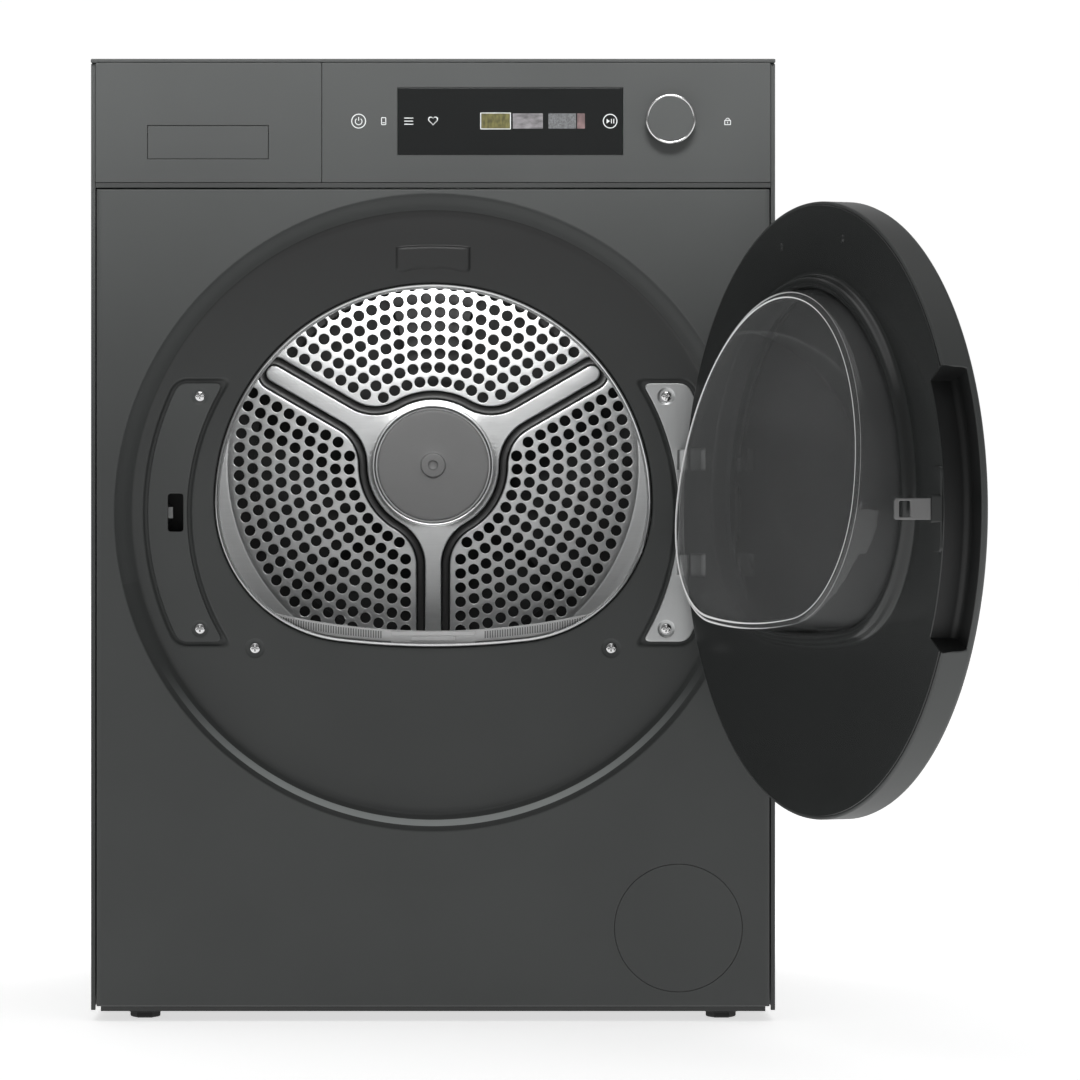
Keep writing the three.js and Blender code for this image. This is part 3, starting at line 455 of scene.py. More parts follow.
def painted_ring_highlight(tree, coords, split):
    """A painted highlight: a factor over 1 in a band low on the rolled wall round the recess, where it faces up."""
    centred = tree.nodes.new("ShaderNodeVectorMath")
    centred.operation = "SUBTRACT"
    centred.inputs[1].default_value = (0, 0, RING_Z * MM)
    tree.links.new(coords.outputs["Object"], centred.inputs[0])
    flat = tree.nodes.new("ShaderNodeVectorMath")
    flat.operation = "MULTIPLY"
    flat.inputs[1].default_value = (1, 0, 1)
    tree.links.new(centred.outputs["Vector"], flat.inputs[0])
    radius = tree.nodes.new("ShaderNodeVectorMath")
    radius.operation = "LENGTH"
    tree.links.new(flat.outputs["Vector"], radius.inputs[0])
    highlight_band = tree.nodes.new("ShaderNodeMath")
    highlight_band.operation = "COMPARE"
    highlight_band.inputs[1].default_value = (RING_R - 7) * MM
    highlight_band.inputs[2].default_value = 2.6 * MM
    tree.links.new(radius.outputs["Value"], highlight_band.inputs[0])
    low = tree.nodes.new("ShaderNodeMapRange")
    low.interpolation_type = "SMOOTHSTEP"
    limits = ((RING_Z - RING_R * 0.45) * MM, (RING_Z - RING_R * 0.98) * MM, 0.0, 6.6)
    for key, value in zip(("From Min", "From Max", "To Min", "To Max"), limits):
        low.inputs[key].default_value = value
    tree.links.new(split.outputs["Z"], low.inputs["Value"])
    painted_highlight = tree.nodes.new("ShaderNodeMath")
    painted_highlight.operation = "MULTIPLY"
    tree.links.new(highlight_band.outputs["Value"], painted_highlight.inputs[0])
    tree.links.new(low.outputs["Result"], painted_highlight.inputs[1])
    return painted_highlight.outputs["Value"]


def recess_painted_shade_and_highlight():
    """The panel's paint inside the round recess, with painted shade that darkens it towards the top and a painted
    highlight low on its rolled wall.
    """
    material = coated("recess_painted_shade_and_highlight", GRAPHITE, 0.5, 2600, 0.05)
    tree = material.node_tree
    shader = tree.nodes["Principled BSDF"]
    split = tree.nodes.new("ShaderNodeSeparateXYZ")
    coords = tree.nodes.new("ShaderNodeTexCoord")
    tree.links.new(coords.outputs["Object"], split.inputs["Vector"])
    # Painted shade: the paint is darkened more and more towards the top of the recess.
    painted_shade_ramp = tree.nodes.new("ShaderNodeMapRange")
    limits = ((RING_Z + 10) * MM, (RING_Z + RING_R * 0.85) * MM, 0.86, 0.13)
    for key, value in zip(("From Min", "From Max", "To Min", "To Max"), limits):
        painted_shade_ramp.inputs[key].default_value = value
    tree.links.new(split.outputs["Z"], painted_shade_ramp.inputs["Value"])
    # Painted highlight: a pale band low on the rolled wall, added to the painted shade.
    painted_highlight = painted_ring_highlight(tree, coords, split)
    total = tree.nodes.new("ShaderNodeMath")
    tree.links.new(painted_shade_ramp.outputs["Result"], total.inputs[0])
    tree.links.new(painted_highlight, total.inputs[1])
    painted_light = tree.nodes.new("ShaderNodeVectorMath")
    painted_light.operation = "SCALE"
    tree.links.new(shader.inputs["Base Color"].links[0].from_socket, painted_light.inputs["Vector"])
    tree.links.new(total.outputs["Value"], painted_light.inputs["Scale"])
    tree.links.new(painted_light.outputs["Vector"], shader.inputs["Base Color"])
    return material


def brushed(name, colour, rough, scale=(40, 40, 900)):
    """Metal with fine lines along its grain."""
    nodes = Nodes(name)
    nodes.set(Metallic=1.0)
    lines = nodes.noise(1.0, 5, nodes.scaled(*scale))
    nodes.tint(nodes.spread(lines, 0, 1), shade(colour, 0.96), colour)
    nodes.link(nodes.spread(lines, rough * 0.93, rough * 1.07), nodes.shader.inputs["Roughness"])
    return nodes.material


def smoked(name, colour, rough, cover):
    """Thin smoked plastic: one can look straight through it, and its gloss stays."""
    nodes = Nodes(name)
    nodes.set(Alpha=cover, IOR=1.7)
    smears = nodes.noise(14, 3)
    nodes.tint(nodes.spread(smears, 0, 1), shade(colour, 0.96), colour)
    nodes.link(nodes.spread(smears, rough, rough + 0.02), nodes.shader.inputs["Roughness"])
    return nodes.material


def glowing_highlight_material():
    """Clear plastic that glows faintly: a painted highlight for the strips round the bowl's end."""
    material = coated("bowl_edge", (0.8, 0.8, 0.8), 0.2, 300, 0)
    shader = material.node_tree.nodes["Principled BSDF"]
    shader.inputs["Emission Color"].default_value = (1, 1, 1, 1)
    shader.inputs["Emission Strength"].default_value = 0.22
    return material


def finned():
    """Mill aluminium with the lines of close fins."""
    nodes = Nodes("exchanger_fins")
    nodes.set(Metallic=1.0)
    fine = nodes.noise(1.0, 2, nodes.scaled(5, 700, 5))
    nodes.tint(nodes.spread(fine, 0, 1), (0.3, 0.3, 0.3), (0.62, 0.62, 0.62))
    nodes.set(Roughness=0.45)
    nodes.bump(fine, 0.5, 0.001)
    return nodes.material


def zinc_with_painted_shade_inside():
    """The rear panel: zinc outside, and black inside, painted shade where it faces into the machine."""
    nodes = Nodes("zinc_with_painted_shade_inside")
    split = nodes.add("ShaderNodeSeparateXYZ")
    outside = nodes.add("ShaderNodeMath", operation="GREATER_THAN")
    outside.inputs[1].default_value = (Box("rear_panel").y1 - 0.6) * MM
    nodes.link(nodes.coords, split.inputs["Vector"])
    nodes.link(split.outputs["Y"], outside.inputs[0])
    nodes.tint(outside.outputs["Value"], (0.02, 0.02, 0.02), (0.42, 0.43, 0.43))
    nodes.link(outside.outputs["Value"], nodes.shader.inputs["Metallic"])
    fine = nodes.noise(1.0, 5, nodes.scaled(300, 300, 30))
    nodes.link(nodes.spread(fine, 0.36, 0.48), nodes.shader.inputs["Roughness"])
    return nodes.material


GRAPHITE = (0.061, 0.0645, 0.0635)
MAKERS = {
    "graphite_paint": lambda: coated("graphite_paint", GRAPHITE, 0.5, 2600, 0.05),
    "dial_paint": lambda: coated("dial_paint", shade(GRAPHITE, 1.15), 0.45, 2600, 0.04),
    "frame_paint": lambda: coated("frame_paint", shade(GRAPHITE, 0.7), 0.5, 2600, 0.05),
    "zinc_steel": lambda: brushed("zinc_steel", (0.6, 0.61, 0.61), 0.42, (300, 300, 30)),
    "drum_steel": lambda: brushed("drum_steel", (0.8, 0.81, 0.81), 0.3),
    "screw_steel": lambda: brushed("screw_steel", (0.75, 0.75, 0.75), 0.16, (90, 90, 90)),
    "black_plastic": lambda: coated("black_plastic", (0.03, 0.031, 0.031), 0.5, 1500, 0.12),
    "liner_plastic": lambda: coated("liner_plastic", (0.026, 0.028, 0.0275), 0.22, 12, 0),
    "hub_plastic": lambda: coated("hub_plastic", (0.24, 0.24, 0.24), 0.42, 1500, 0.02),
    "grey_plastic": lambda: coated("grey_plastic", (0.2, 0.205, 0.205), 0.55, 1500, 0.1),
    "filter_plastic": lambda: coated("filter_plastic", (0.75, 0.75, 0.75), 0.5, 1500, 0.06),
    "tank_plastic": lambda: coated("tank_plastic", (0.6, 0.61, 0.62), 0.4, 700, 0.05),
    "display_glass": lambda: coated("display_glass", (0.012, 0.013, 0.013), 0.14, 12, 0),
    "door_glass": lambda: coated("door_glass", (0.02, 0.021, 0.021), 0.08, 12, 0),
    "bowl_glass": lambda: smoked("bowl_glass", (0.18, 0.185, 0.185), 0.02, 0.32),
    "black_rubber": lambda: coated("black_rubber", (0.014, 0.014, 0.014), 0.7, 900, 0.2),
    "exchanger_fins": finned,
    "compressor_paint": lambda: coated("compressor_paint", (0.02, 0.02, 0.02), 0.35, 1200, 0.08),
    "board": lambda: coated("board", (0.03, 0.12, 0.06), 0.5, 800, 0.1),
}


finishes = {}


def finish(slot):
    """The material of a record slot, made once."""
    if slot not in finishes:
        finishes[slot] = MAKERS[slot]()
    return finishes[slot]


# ---------- front panel ----------
def pad_outline(inset=0.0):
    """The embossed catch pad: a slightly arched top, and a lower edge raised between two lobes."""
    half, top, bottom = 32.5 - inset, 672.4 - inset, 649.6 + inset
    upper = [(x, top - 1.4 * (x / half) ** 2) for x in (half - i * half / 6 for i in range(13))]
    lobe = [(x, bottom + 3.4 * (1 - (x / (half - 7)) ** 2)) for x in ((i - 10) * (half - 7) / 10 for i in range(21))]
    notch = [(x, z - 1.1 * max(0.0, 1 - (x / 5) ** 2)) for x, z in lobe]
    left = arc(-half + 3.5, bottom + 3.5, 3.5, math.pi, 1.5 * math.pi, 5)
    right = arc(half - 3.5, bottom + 3.5, 3.5, 1.5 * math.pi, math.tau, 5, closed=True)
    return upper + left + notch + right


def ring_profile():
    """From the front face round the edge of the recess, down its wall and out onto its floor."""
    rows = [(RING_R + 0.9, FRONT), (RING_R + 0.2, FRONT + 0.15), (RING_R - 0.4, FRONT + 0.6)]
    rows += [(RING_R - 1.1, FRONT + 1.6), (RING_R - 2.0, FRONT + 3.2)]
    rows += [(RING_R - 4.6, FRONT + 6.2), (RING_R - 7.6, FRONT + 9.6), (RING_R - 10.4, FRONT + 13.2)]
    rows += [(RING_R - 12.6, FRONT + 16.6), (RING_R - 13.6, FRONT + 18.3), (RING_R - 14.8, FRONT + 19.3)]
    return rows + [(RING_R - 16.6, FRONT + 19.8), (FLOOR_R, FLOOR)]


def groove_rows(outline):
    """The pressed wall of a pocket, and the narrow shelf round what sits in it."""
    steps = [(-1.2, 0.0), (-0.4, 0.1), (0.4, 0.55), (1.0, 1.4), (1.5, 2.3), (2.2, 2.9), (3.6, 3.2), (6.5, 3.2)]
    return [lift(outline(inset), FLOOR + depth) for inset, depth in steps]


def dimple_rows(x, z):
    """The shallow ring pressed round a bulkhead screw."""
    steps = [(9.2, 0.0), (8.4, 0.25), (7.6, 0.7), (6.6, 0.9), (2.6, 0.9)]
    return [lift(circle(r, x, z, 48), FLOOR + depth) for r, depth in steps]


def front_panel():
    shape = Shape()
    half, low, high, side, ends = PANEL.x1, PANEL.z0, PANEL.z1, 5.5, 1.4
    back = FRONT + 4.4

    def border(t):
        dx, dz = side * (1 - math.sin(t)), ends * (1 - math.sin(t))
        return rect(-half + dx, half - dx, low + dz, high - dz, 0.6, 4)

    steps = [i * math.pi / 12 for i in range(7)]
    rows = [lift(border(t), FRONT + 3.6 * (1 - math.cos(t))) for t in steps]
    shape.skin(rows + [lift(border(math.pi / 2), back)])
    service_r = (SERVICE.x1 - SERVICE.x0) / 2 + 0.25
    hole = lambda grow: circle(service_r + grow, SERVICE.x, SERVICE.z, 96)
    shelf = lift(circle(service_r - 3, SERVICE.x, SERVICE.z, 96), FRONT + 3.4)
    shape.skin(edge_rows(hole, FRONT, FRONT + 3.4, 0.4) + [shelf])
    rim = circle(RING_R + 0.9)
    shape.fill([border(0), rim, hole(0.4)], lambda x, z: (x, FRONT, z))
    turned(shape, ring_profile(), 0, RING_Z, closed=False)

    pockets = [lambda d, s=s: pocket(s, d) for s in (-1, 1)]
    screws = [(s * BULKHEAD_SCREW.x, BULKHEAD_SCREW.z) for s in (-1, 1)]
    for outline in pockets:
        shape.skin(groove_rows(outline))
    for x, z in screws:
        shape.skin(dimple_rows(x, z))
    lip = [(LIP + 3.2, 0), (2.6, 0.05), (1.9, 0.3), (1.4, 0.7), (1.2, 1.4)]
    shape.skin([lift(mouth(offset), FLOOR + depth) for offset, depth in lip])
    pad = [(-1.0, 0.0), (-0.3, 0.2), (0.3, 0.8), (0.9, 1.4), (1.8, 1.8), (3.0, 1.95)]
    shape.skin([lift(pad_outline(inset), FLOOR - up) for inset, up in pad])
    shape.fill([pad_outline(3.0)], lambda x, z: (x, FLOOR - 1.95, z))
    loops = [circle(FLOOR_R), mouth(LIP + 3.2), pad_outline(-1.0)]
    loops += [outline(-1.2) for outline in pockets]
    loops += [circle(9.2, x, z, 48) for x, z in screws]
    shape.fill(loops, lambda x, z: (x, FLOOR, z))
    ring_from = lambda z: FRONT + 0.6 if z < RING_Z - 60 else FLOOR - 2.5
    in_recess = lambda p: ring_from(p.z) < p.y and math.hypot(p.x, p.z - RING_Z) < RING_R
    # The faces in the recess get the paint with painted shade towards the top and a painted highlight low on the
    # rolled wall.
    painted_light = recess_painted_shade_and_highlight()
    panel = piece("front_panel_sheet", shape, "cabinet", ("front_panel",), sharp=50, second=(painted_light, in_recess))
    solid = panel.modifiers.new("sheet", "SOLIDIFY")
    solid.thickness = 0.9 * MM
    solid.offset = -1


def service_cover():
    shape = Shape()
    r = (SERVICE.x1 - SERVICE.x0) / 2
    profile = [(0.01, FRONT), (r - 0.5, FRONT), (r - 0.25, FRONT + 0.06), (r - 0.06, FRONT + 0.22)]
    profile += [(r, FRONT + 0.5), (r, FRONT + 3), (r - 2, FRONT + 3), (r - 2, FRONT + 1.6), (0.01, FRONT + 1.6)]
    turned(shape, profile, SERVICE.x, SERVICE.z, 96)
    piece("service_cover_disc", shape, "hatch", ("service_cover",))


# ---------- latch side and hinge side ----------
def screw_dish(side, up):
    return lambda grow: circle(7.4 + grow, side * SCREW_X, RING_Z + up * SCREW_DZ, 40)


def dish_rows(side, up, face):
    """The dished seat of a screw."""
    x, z = side * SCREW_X, RING_Z + up * SCREW_DZ
    steps = [(8.0, 0.0), (7.5, 0.1), (6.9, 0.5), (6.2, 0.9), (5.4, 1.1), (2.5, 1.1)]
    return [lift(circle(r, x, z, 40), face + depth) for r, depth in steps]


def covered_plate(shape, side, face, back, holes=()):
    """The crescent plate in a pocket, with its two dished screw seats."""
    outline = lambda inset: pocket(side, COVER_GAP + inset, 8)
    for loop in (outline, *holes):
        shape.skin(edge_rows(loop, face, back, 0.8))
    for up in (-1, 1):
        shape.skin(dish_rows(side, up, face))
    seats = [circle(8.0, side * SCREW_X, RING_Z + up * SCREW_DZ, 40) for up in (-1, 1)]
    front = [outline(0.8)] + [hole(0.8) for hole in holes] + seats
    shape.fill(front, lambda x, z: (x, face, z))
    bores = [circle(2.5, side * SCREW_X, RING_Z + up * SCREW_DZ, 40) for up in (-1, 1)]
    shape.fill([outline(0)] + [hole(0) for hole in holes] + bores, lambda x, z: (x, back, z))
    for x, z in ((side * SCREW_X, RING_Z + up * SCREW_DZ) for up in (-1, 1)):
        shape.skin([lift(circle(2.5, x, z, 40), y) for y in (face + 1.1, back)])


def latch_cover():
    shape = Shape()
    slot_x, half_w, half_h = -226.7, 6.7, 16.7

    def slot(grow):
        reach, tall = half_w + grow, half_h + grow
        return rect(slot_x - reach, slot_x + reach, RING_Z - tall, RING_Z + tall, 2.6 + grow)

    covered_plate(shape, -1, FLOOR, FLOOR + 3, [slot])
    piece("latch_cover_plate", shape, "cabinet", ("latch_cover",), slot="graphite_paint")


def hinge_plate():
    shape = Shape()
    face, back = FLOOR + 0.4, Box("hinge_plate").y1
    covered_plate(shape, 1, face, back)
    bend_x, thick, half, barrel = HINGE_X - 25.4, 4.0, 9.0, 6.0
    x0 = bend_x + thick / 2
    path = [(x0, face + 1)] + smooth_bend((x0, HINGE_Y), (x0, face), (HINGE_X, HINGE_Y), 4.5)
    path.append((HINGE_X - 4, HINGE_Y))
    for side in (-1, 1):
        z = RING_Z + side * 46
        section = rect(-thick / 2, thick / 2, z - half, z + half, 0.7, 3)
        rows = swept(path, section)
        shape.skin(rows)
        wall = [(barrel, z - half + 0.6), (barrel, z + half - 0.6), (barrel - 0.6, z + half)]
        wall += [(3.4, z + half), (3.4, z - half), (barrel - 0.6, z - half)]
        upright(shape, wall + wall[:1], HINGE_X, HINGE_Y)
    piece("hinge_plate_with_arms", shape, "cabinet", ("hinge_plate",))


def screw(name, x, z, face):
    """A domed screw with a cross recess."""
    shape = Shape()
    radii = [0.01, 0.5, 1.0, 1.5, 2.0, 2.5, 3.0, 3.5, 4.0, 4.35, 4.6]
    rows = []
    for r in radii:
        dome = 2.0 * math.sqrt(max(0.0, 1 - (r / 4.75) ** 2))
        row = []
        for px, pz in arc(0, 0, r, 0, math.tau, 64):
            blade = max(0.0, 1 - (min(abs(px), abs(pz)) / 0.62) ** 4)
            depth = 1.5 * blade * max(0.0, 1 - (r / 2.7) ** 6)
            row.append((x + px, face - 0.2 - dome + depth, z + pz))
        rows.append(row)
    rows.append(lift(circle(4.6, x, z, 64), face + 0.6))
    rows.append(lift(circle(2.0, x, z, 64), face + 0.6))
    rows.append(lift(circle(2.0, x, z, 64), face + 14))
    shape.skin(rows)
    shape.fill([circle(2.0, x, z, 64)], lambda px, pz: (px, face + 14, pz))
    piece(name + "_head", shape, "cabinet", (name,), sharp=60)


def screws():
    for side, kind, face in ((-1, "latch", FLOOR + 0.9), (1, "hinge", FLOOR + 1.2)):
        for up, word in ((1, "upper"), (-1, "lower")):
            screw(f"{kind}_screw_{word}", side * SCREW_X, RING_Z + up * SCREW_DZ, face)
    for side, word in ((-1, "left"), (1, "right")):
        screw(f"bulkhead_screw_{word}", side * BULKHEAD_SCREW.x, BULKHEAD_SCREW.z, FLOOR + 0.8)


# ---------- mouth ----------
def mouth_ring():
    """The rolled front edge goes all the way round; behind it the wall stops at the filter's slot."""
    shape = Shape()
    y0, y1 = RIM.y0, FILTER.y0 - 0.6
    front = [(-LIP, y1), (-LIP, y0 + 1.4), (-LIP + 0.35, y0 + 0.5), (-LIP / 2, y0), (-0.35, y0 + 0.5)]
    front += [(0, y0 + 1.4), (0, y1)]
    shape.skin([lift(mouth(offset), y) for offset, y in front + front[:1]])
    slot_x = FILTER.x1 + 1
    rear = [(-LIP, y1), (0, y1), (0, RIM.y1), (-LIP, RIM.y1)]
    count = len(mouth())
    clear_of_slot = [i for i, (x, z) in enumerate(mouth()) if abs(x) > 140 or z > MOUTH_Z]
    order = sorted(clear_of_slot, key=lambda i: (i - clear_of_slot[-1] - 1) % count)
    start = next(k for k in range(len(order)) if (order[k] - order[k - 1]) % count != 1)
    order = order[start:] + order[:start]
    rows = []
    for i in order:
        rows.append([(*mouth(offset)[i], y) for offset, y in rear])
    shape.skin([[(x, y, z) for x, z, y in row] for row in rows])
    piece("mouth_ring_rolled", shape, "cabinet", ("mouth_ring",), sharp=50)


def mouth_gasket():
    shape = Shape()
    box = Box("mouth_gasket")
    y0, y1 = box.y1 - 1.0, box.y1
    loop = [(0.35, y0 + 0.6), (1.0, y0), (2.2, y0), (2.75, y0 + 0.6), (2.75, y1), (0.35, y1)]
    shape.skin([lift(mouth(offset), y) for offset, y in loop + loop[:1]])
    piece("mouth_gasket_lip", shape, "cabinet", ("mouth_gasket",))


FILTER_ARCH = 639  # radius of the filter's top edge
FILTER_TOP = 333  # its height at the middle


def filter_top(x):
    return FILTER_TOP + FILTER_ARCH - math.sqrt(FILTER_ARCH**2 - x**2)


def filter_outline(inset=0.0):
    """The crescent between the arched top edge and the bottom of the mouth."""
    reach = 147 - inset
    top = [(x, filter_top(x) - inset) for x in (reach - i * reach / 20 for i in range(41))]
    low = [p for p in mouth(-LIP - 0.4 - inset) if p[1] < MOUTH_Z and abs(p[0]) <= reach - 1]
    low.sort(key=lambda p: p[0])
    keep = [p for p in low if p[1] < filter_top(p[0]) - inset - 0.5]
    return top + resample(keep, 60)


def resample(points, steps):
    length = sum(math.dist(a, b) for a, b in zip(points, points[1:]))
    return [along(points, length * i / steps) for i in range(steps + 1)]


def lint_filter():
    shape = Shape()
    y0, y1 = FILTER.y0 + 1.5, FILTER.y1
    plate(shape, filter_outline, y0, y1, 1.0)
    half = FILTER.x1 if FILTER.x1 < 140 else 138
    block(shape, -half, half, y0 + 4, y1 - 1, FILTER.z0, MOUTH_Z - MOUTH_DROP + 8)
    piece("lint_filter_body", shape, "filter", ("lint_filter",))
    handle = Shape()
    block(handle, -37, 37, y0 - 1.5, y0 + 3, FILTER_TOP - 4.2, FILTER_TOP - 0.3, 1.2)
    block(handle, -19.5, 19.5, y0 - 1.5, y0 + 2, FILTER_TOP - 8.6, FILTER_TOP - 4.4, 1.0)
    block(handle, -37, 37, y0 - 0.6, y0 + 2, FILTER_TOP - 11.5, FILTER_TOP - 8.8, 0.8)
    piece("lint_filter_handle", handle, "filter", slot="filter_plastic")
    ribs = Shape()
    for i in range(42):
        for side in (-1, 1):
            x = side * (46 + 2.2 * i)
            block(ribs, x - 0.45, x + 0.45, y0 - 0.6, y0 + 0.5, filter_top(x) - 8, filter_top(x) - 1.6, 0.2)
    piece("lint_filter_mesh_ribs", ribs, "filter", slot="grey_plastic")


# ---------- drum ----------
def drum_shell():
    shape = Shape()
    r, y0, y1, sheet = SHELL.x1, SHELL.y0, SHELL.y1, 1.2
    profile = [(r - 16.6, y0 + sheet), (r - 16.6, y0 + 0.2), (r - 15.5, y0), (r - 4, y0), (r - 1.2, y0 + 1)]
    profile += [(r, y0 + 4), (r, y1), (r - sheet, y1), (r - sheet, y1 - 40)]
    for bead in (0.75, 0.5, 0.25):
        y = y0 + (y1 - y0) * bead
        profile += [(r - sheet, y + 9), (r - sheet - 0.9, y + 6), (r - sheet - 1.2, y)]
        profile += [(r - sheet - 0.9, y - 6), (r - sheet, y - 9)]
    profile += [(r - sheet, y0 + 5), (r - 2.4, y0 + 2.4), (r - 5, y0 + sheet)]
    turned(shape, profile, 0, DRUM_Z)
    # The shell's inner face takes a darker copy of the drum steel: painted shade.
    painted_shade_steel = brushed("shell_steel_painted_shade", (0.42, 0.42, 0.42), 0.24)
    within = lambda p: math.hypot(p.x, p.z - DRUM_Z) < r - 0.6
    piece("drum_shell_rolled", shape, "drum", ("drum_shell",), second=(painted_shade_steel, within))


SPOKE_HALF, SPOKE_END, SPOKE_HUB, SPOKE_FILLET = 17.0, 199.0, 74.5, 40.0
HOLE_R = 5.35


def spoke_outline(inset=0.0):
    """The pressed three-armed star: arms with round ends, filleted into a hub."""
    half, hub, fillet = SPOKE_HALF - inset, SPOKE_HUB - inset, SPOKE_FILLET + inset
    cap = SPOKE_END - SPOKE_HALF
    rise = SPOKE_HALF + SPOKE_FILLET
    run = math.sqrt((SPOKE_HUB + SPOKE_FILLET) ** 2 - rise**2)
    lean = math.atan2(rise, run)
    points = []
    for k in range(3):
        turn = math.radians(30 + 120 * k)
        arm = arc(run, -rise, fillet, math.pi - lean, math.pi / 2, 12, closed=True)
        arm += arc(cap, 0, half, -math.pi / 2, math.pi / 2, 18, closed=True)
        arm += arc(run, rise, fillet, -math.pi / 2, lean - math.pi, 12)
        arm += arc(0, 0, hub, lean, math.tau / 3 - lean, 14)
        cos, sin = math.cos(turn), math.sin(turn)
        points += [(u * cos - v * sin, DRUM_Z + u * sin + v * cos) for u, v in arm]
    return points


def air_holes():
    """Centres of the perforations: nine rings, kept clear of the arms, and of the hub's fillets."""
    first, step, pitch = 83.5, 13.7, 14.0
    centres = []
    for ring in range(9):
        r = first + step * ring
        clearance = 27.3 if ring else 33.5
        half_span = math.pi / 3 - math.asin(clearance / r)
        gaps = round(2 * half_span * r / pitch)
        for sector in range(3):
            middle = math.radians(90 + 120 * sector)
            for i in range(gaps + 1):
                angle = middle + half_span * (2 * i / gaps - 1)
                centres.append((r * math.cos(angle), DRUM_Z + r * math.sin(angle)))
    return centres


def drum_rear_wall():
    shape = Shape()
    y, sheet = BACK_Y, 1.2
    edge = [(0.55, 0.0), (0.22, 0.1), (0.0, 0.45), (0.0, sheet)]
    holes = air_holes()
    for x, z in holes:
        shape.skin([lift(circle(HOLE_R + grow, x, z, 16), y + depth) for grow, depth in edge])
    rims = [circle(HOLE_R + 0.55, x, z, 16) for x, z in holes]
    disc = circle(DISC_R, 0, DRUM_Z)
    shape.fill([disc, spoke_outline(-0.8)] + rims, lambda px, pz: (px, y, pz))
    groove = [(-0.8, 0.0), (0.0, 0.3), (0.5, 1.3), (0.8, 2.8), (1.2, 4.2), (2.1, 5.1), (4.8, 5.4)]
    groove += [(7.2, 5.1), (8.1, 4.2), (8.6, 2.8), (8.9, 1.3), (9.4, 0.3), (10.2, 0.0)]
    shape.skin([lift(spoke_outline(inset), y + depth) for inset, depth in groove])
    bead = [(61.6, 0.0), (60.6, -0.7), (59.2, -1.2), (57.9, -0.7), (57.2, 0.4), (57.0, 6.0), (14.0, 6.0)]
    turned(shape, [(r, y + depth) for r, depth in bead], 0, DRUM_Z, closed=False)
    shape.fill([spoke_outline(10.2), circle(61.6, 0, DRUM_Z)], lambda px, pz: (px, y, pz))
    skirt_r, front = SHELL.x1 - 1.7, SHELL.y1 - 6
    skirt = [(DISC_R, y), (DISC_R + 0.8, y + 0.35), (DISC_R + 1.8, y + 0.3)]
    for i in range(15):
        t = i / 14 * math.pi / 2
        skirt.append((DISC_R + 3 + (skirt_r - DISC_R - 3) * math.sin(t), front + (y - front) * math.cos(t)))
    skirt.append((skirt_r, Box("drum_rear_wall").y0))
    turned(shape, skirt, 0, DRUM_Z, closed=False)
    turned(shape, [(12, y + 6), (12, Box("drum_rear_wall").y1)], 0, DRUM_Z, 48, closed=False)
    in_groove = lambda p: y + 1 < p.y < y + 5.6 and 58 < math.hypot(p.x, p.z - DRUM_Z) < DISC_R - 2
    # The pressed grooves take a near-black copy of the drum steel: painted shade in the creases.
    dark = brushed("groove_steel_painted_shade", (0.07, 0.07, 0.07), 0.45)
    piece("drum_rear_wall_pressed", shape, "drum", ("drum_rear_wall",), sharp=55, second=(dark, in_groove))


def hub_cap():
    shape = Shape()
    y = HUB.y0
    profile = [(0.01, y + 2.2), (3.6, y + 2.2), (4.4, y + 1.6), (4.7, y + 0.5), (5.3, y), (10.6, y)]
    profile += [(11.6, y + 0.4), (12.0, y + 1.6), (12.6, y + 3.0), (15, y + 3.5), (24, y + 3.7)]
    profile += [(40, y + 3.3), (51, y + 2.7), (53.6, y + 2.6), (54.6, y + 3.0), (55.4, y + 4.2)]
    profile += [(55.4, y + 7.5), (0.01, y + 7.5)]
    turned(shape, profile, 0, DRUM_Z, 128)
    piece("hub_cap_disc", shape, "drum", ("hub_cap",))


def lifters():
    """Three rounded vanes on the drum's wall."""
    wall, half, height = SHELL.x1 - 1.8, 41.0, 52.5
    y0, y1 = Box("drum_lifter_1").y0, Box("drum_lifter_1").y1

    def outline(scale):
        """Round over the crest, and back along the wall."""
        crest, foot = [], []
        for i in range(24):
            t = 1 - i / 12
            x = t * half * scale
            crest.append((x, -math.sqrt(wall**2 - x**2) + height * scale * (0.5 + 0.5 * math.cos(math.pi * t))))
        for i in range(12):
            x = (i / 6 - 1) * half * scale
            foot.append((x, -math.sqrt(wall**2 - x**2)))
        return crest + foot

    ends = [(0.8, 0), (0.9, 1), (0.96, 3.6), (1.0, 9)]
    for k in range(3):
        turn = math.radians(180 + 120 * k)
        cos, sin = math.cos(turn), math.sin(turn)

        def spun(scale):
            return [(x * cos + z * sin, DRUM_Z - x * sin + z * cos) for x, z in outline(scale)]

        shape = Shape()
        rows = [lift(spun(scale), y0 + depth) for scale, depth in ends]
        rows += [lift(spun(scale), y1 - depth) for scale, depth in ends[::-1]]
        shape.skin(rows)
        for y in (y0, y1):
            shape.fill([spun(ends[0][0])], lambda x, z: (x, y, z))
        piece(f"drum_lifter_vane_{k + 1}", shape, "drum", (f"drum_lifter_{k + 1}",))


# ---------- door ----------
GRIP_END = math.asin(HANDLE_HALF / DOOR_R)
GRIP_RAMP = 0.012


def notch(angle):
    """0 on the plain rim, 1 in the finger grip, on the side away from the hinge."""
    away = abs((angle % math.tau) - math.pi)
    t = min(1.0, max(0.0, (GRIP_END - away) / GRIP_RAMP))
    return t * t * (3 - 2 * t)


def rim_angles():
    """Even steps round the rim, with more of them at the ends of the grip."""
    angles = [math.tau * i / 240 for i in range(240)]
    for side in (-1, 1):
        angles += [math.pi + side * (GRIP_END - GRIP_RAMP * k / 8) for k in range(9)]
    return sorted(set(angles))


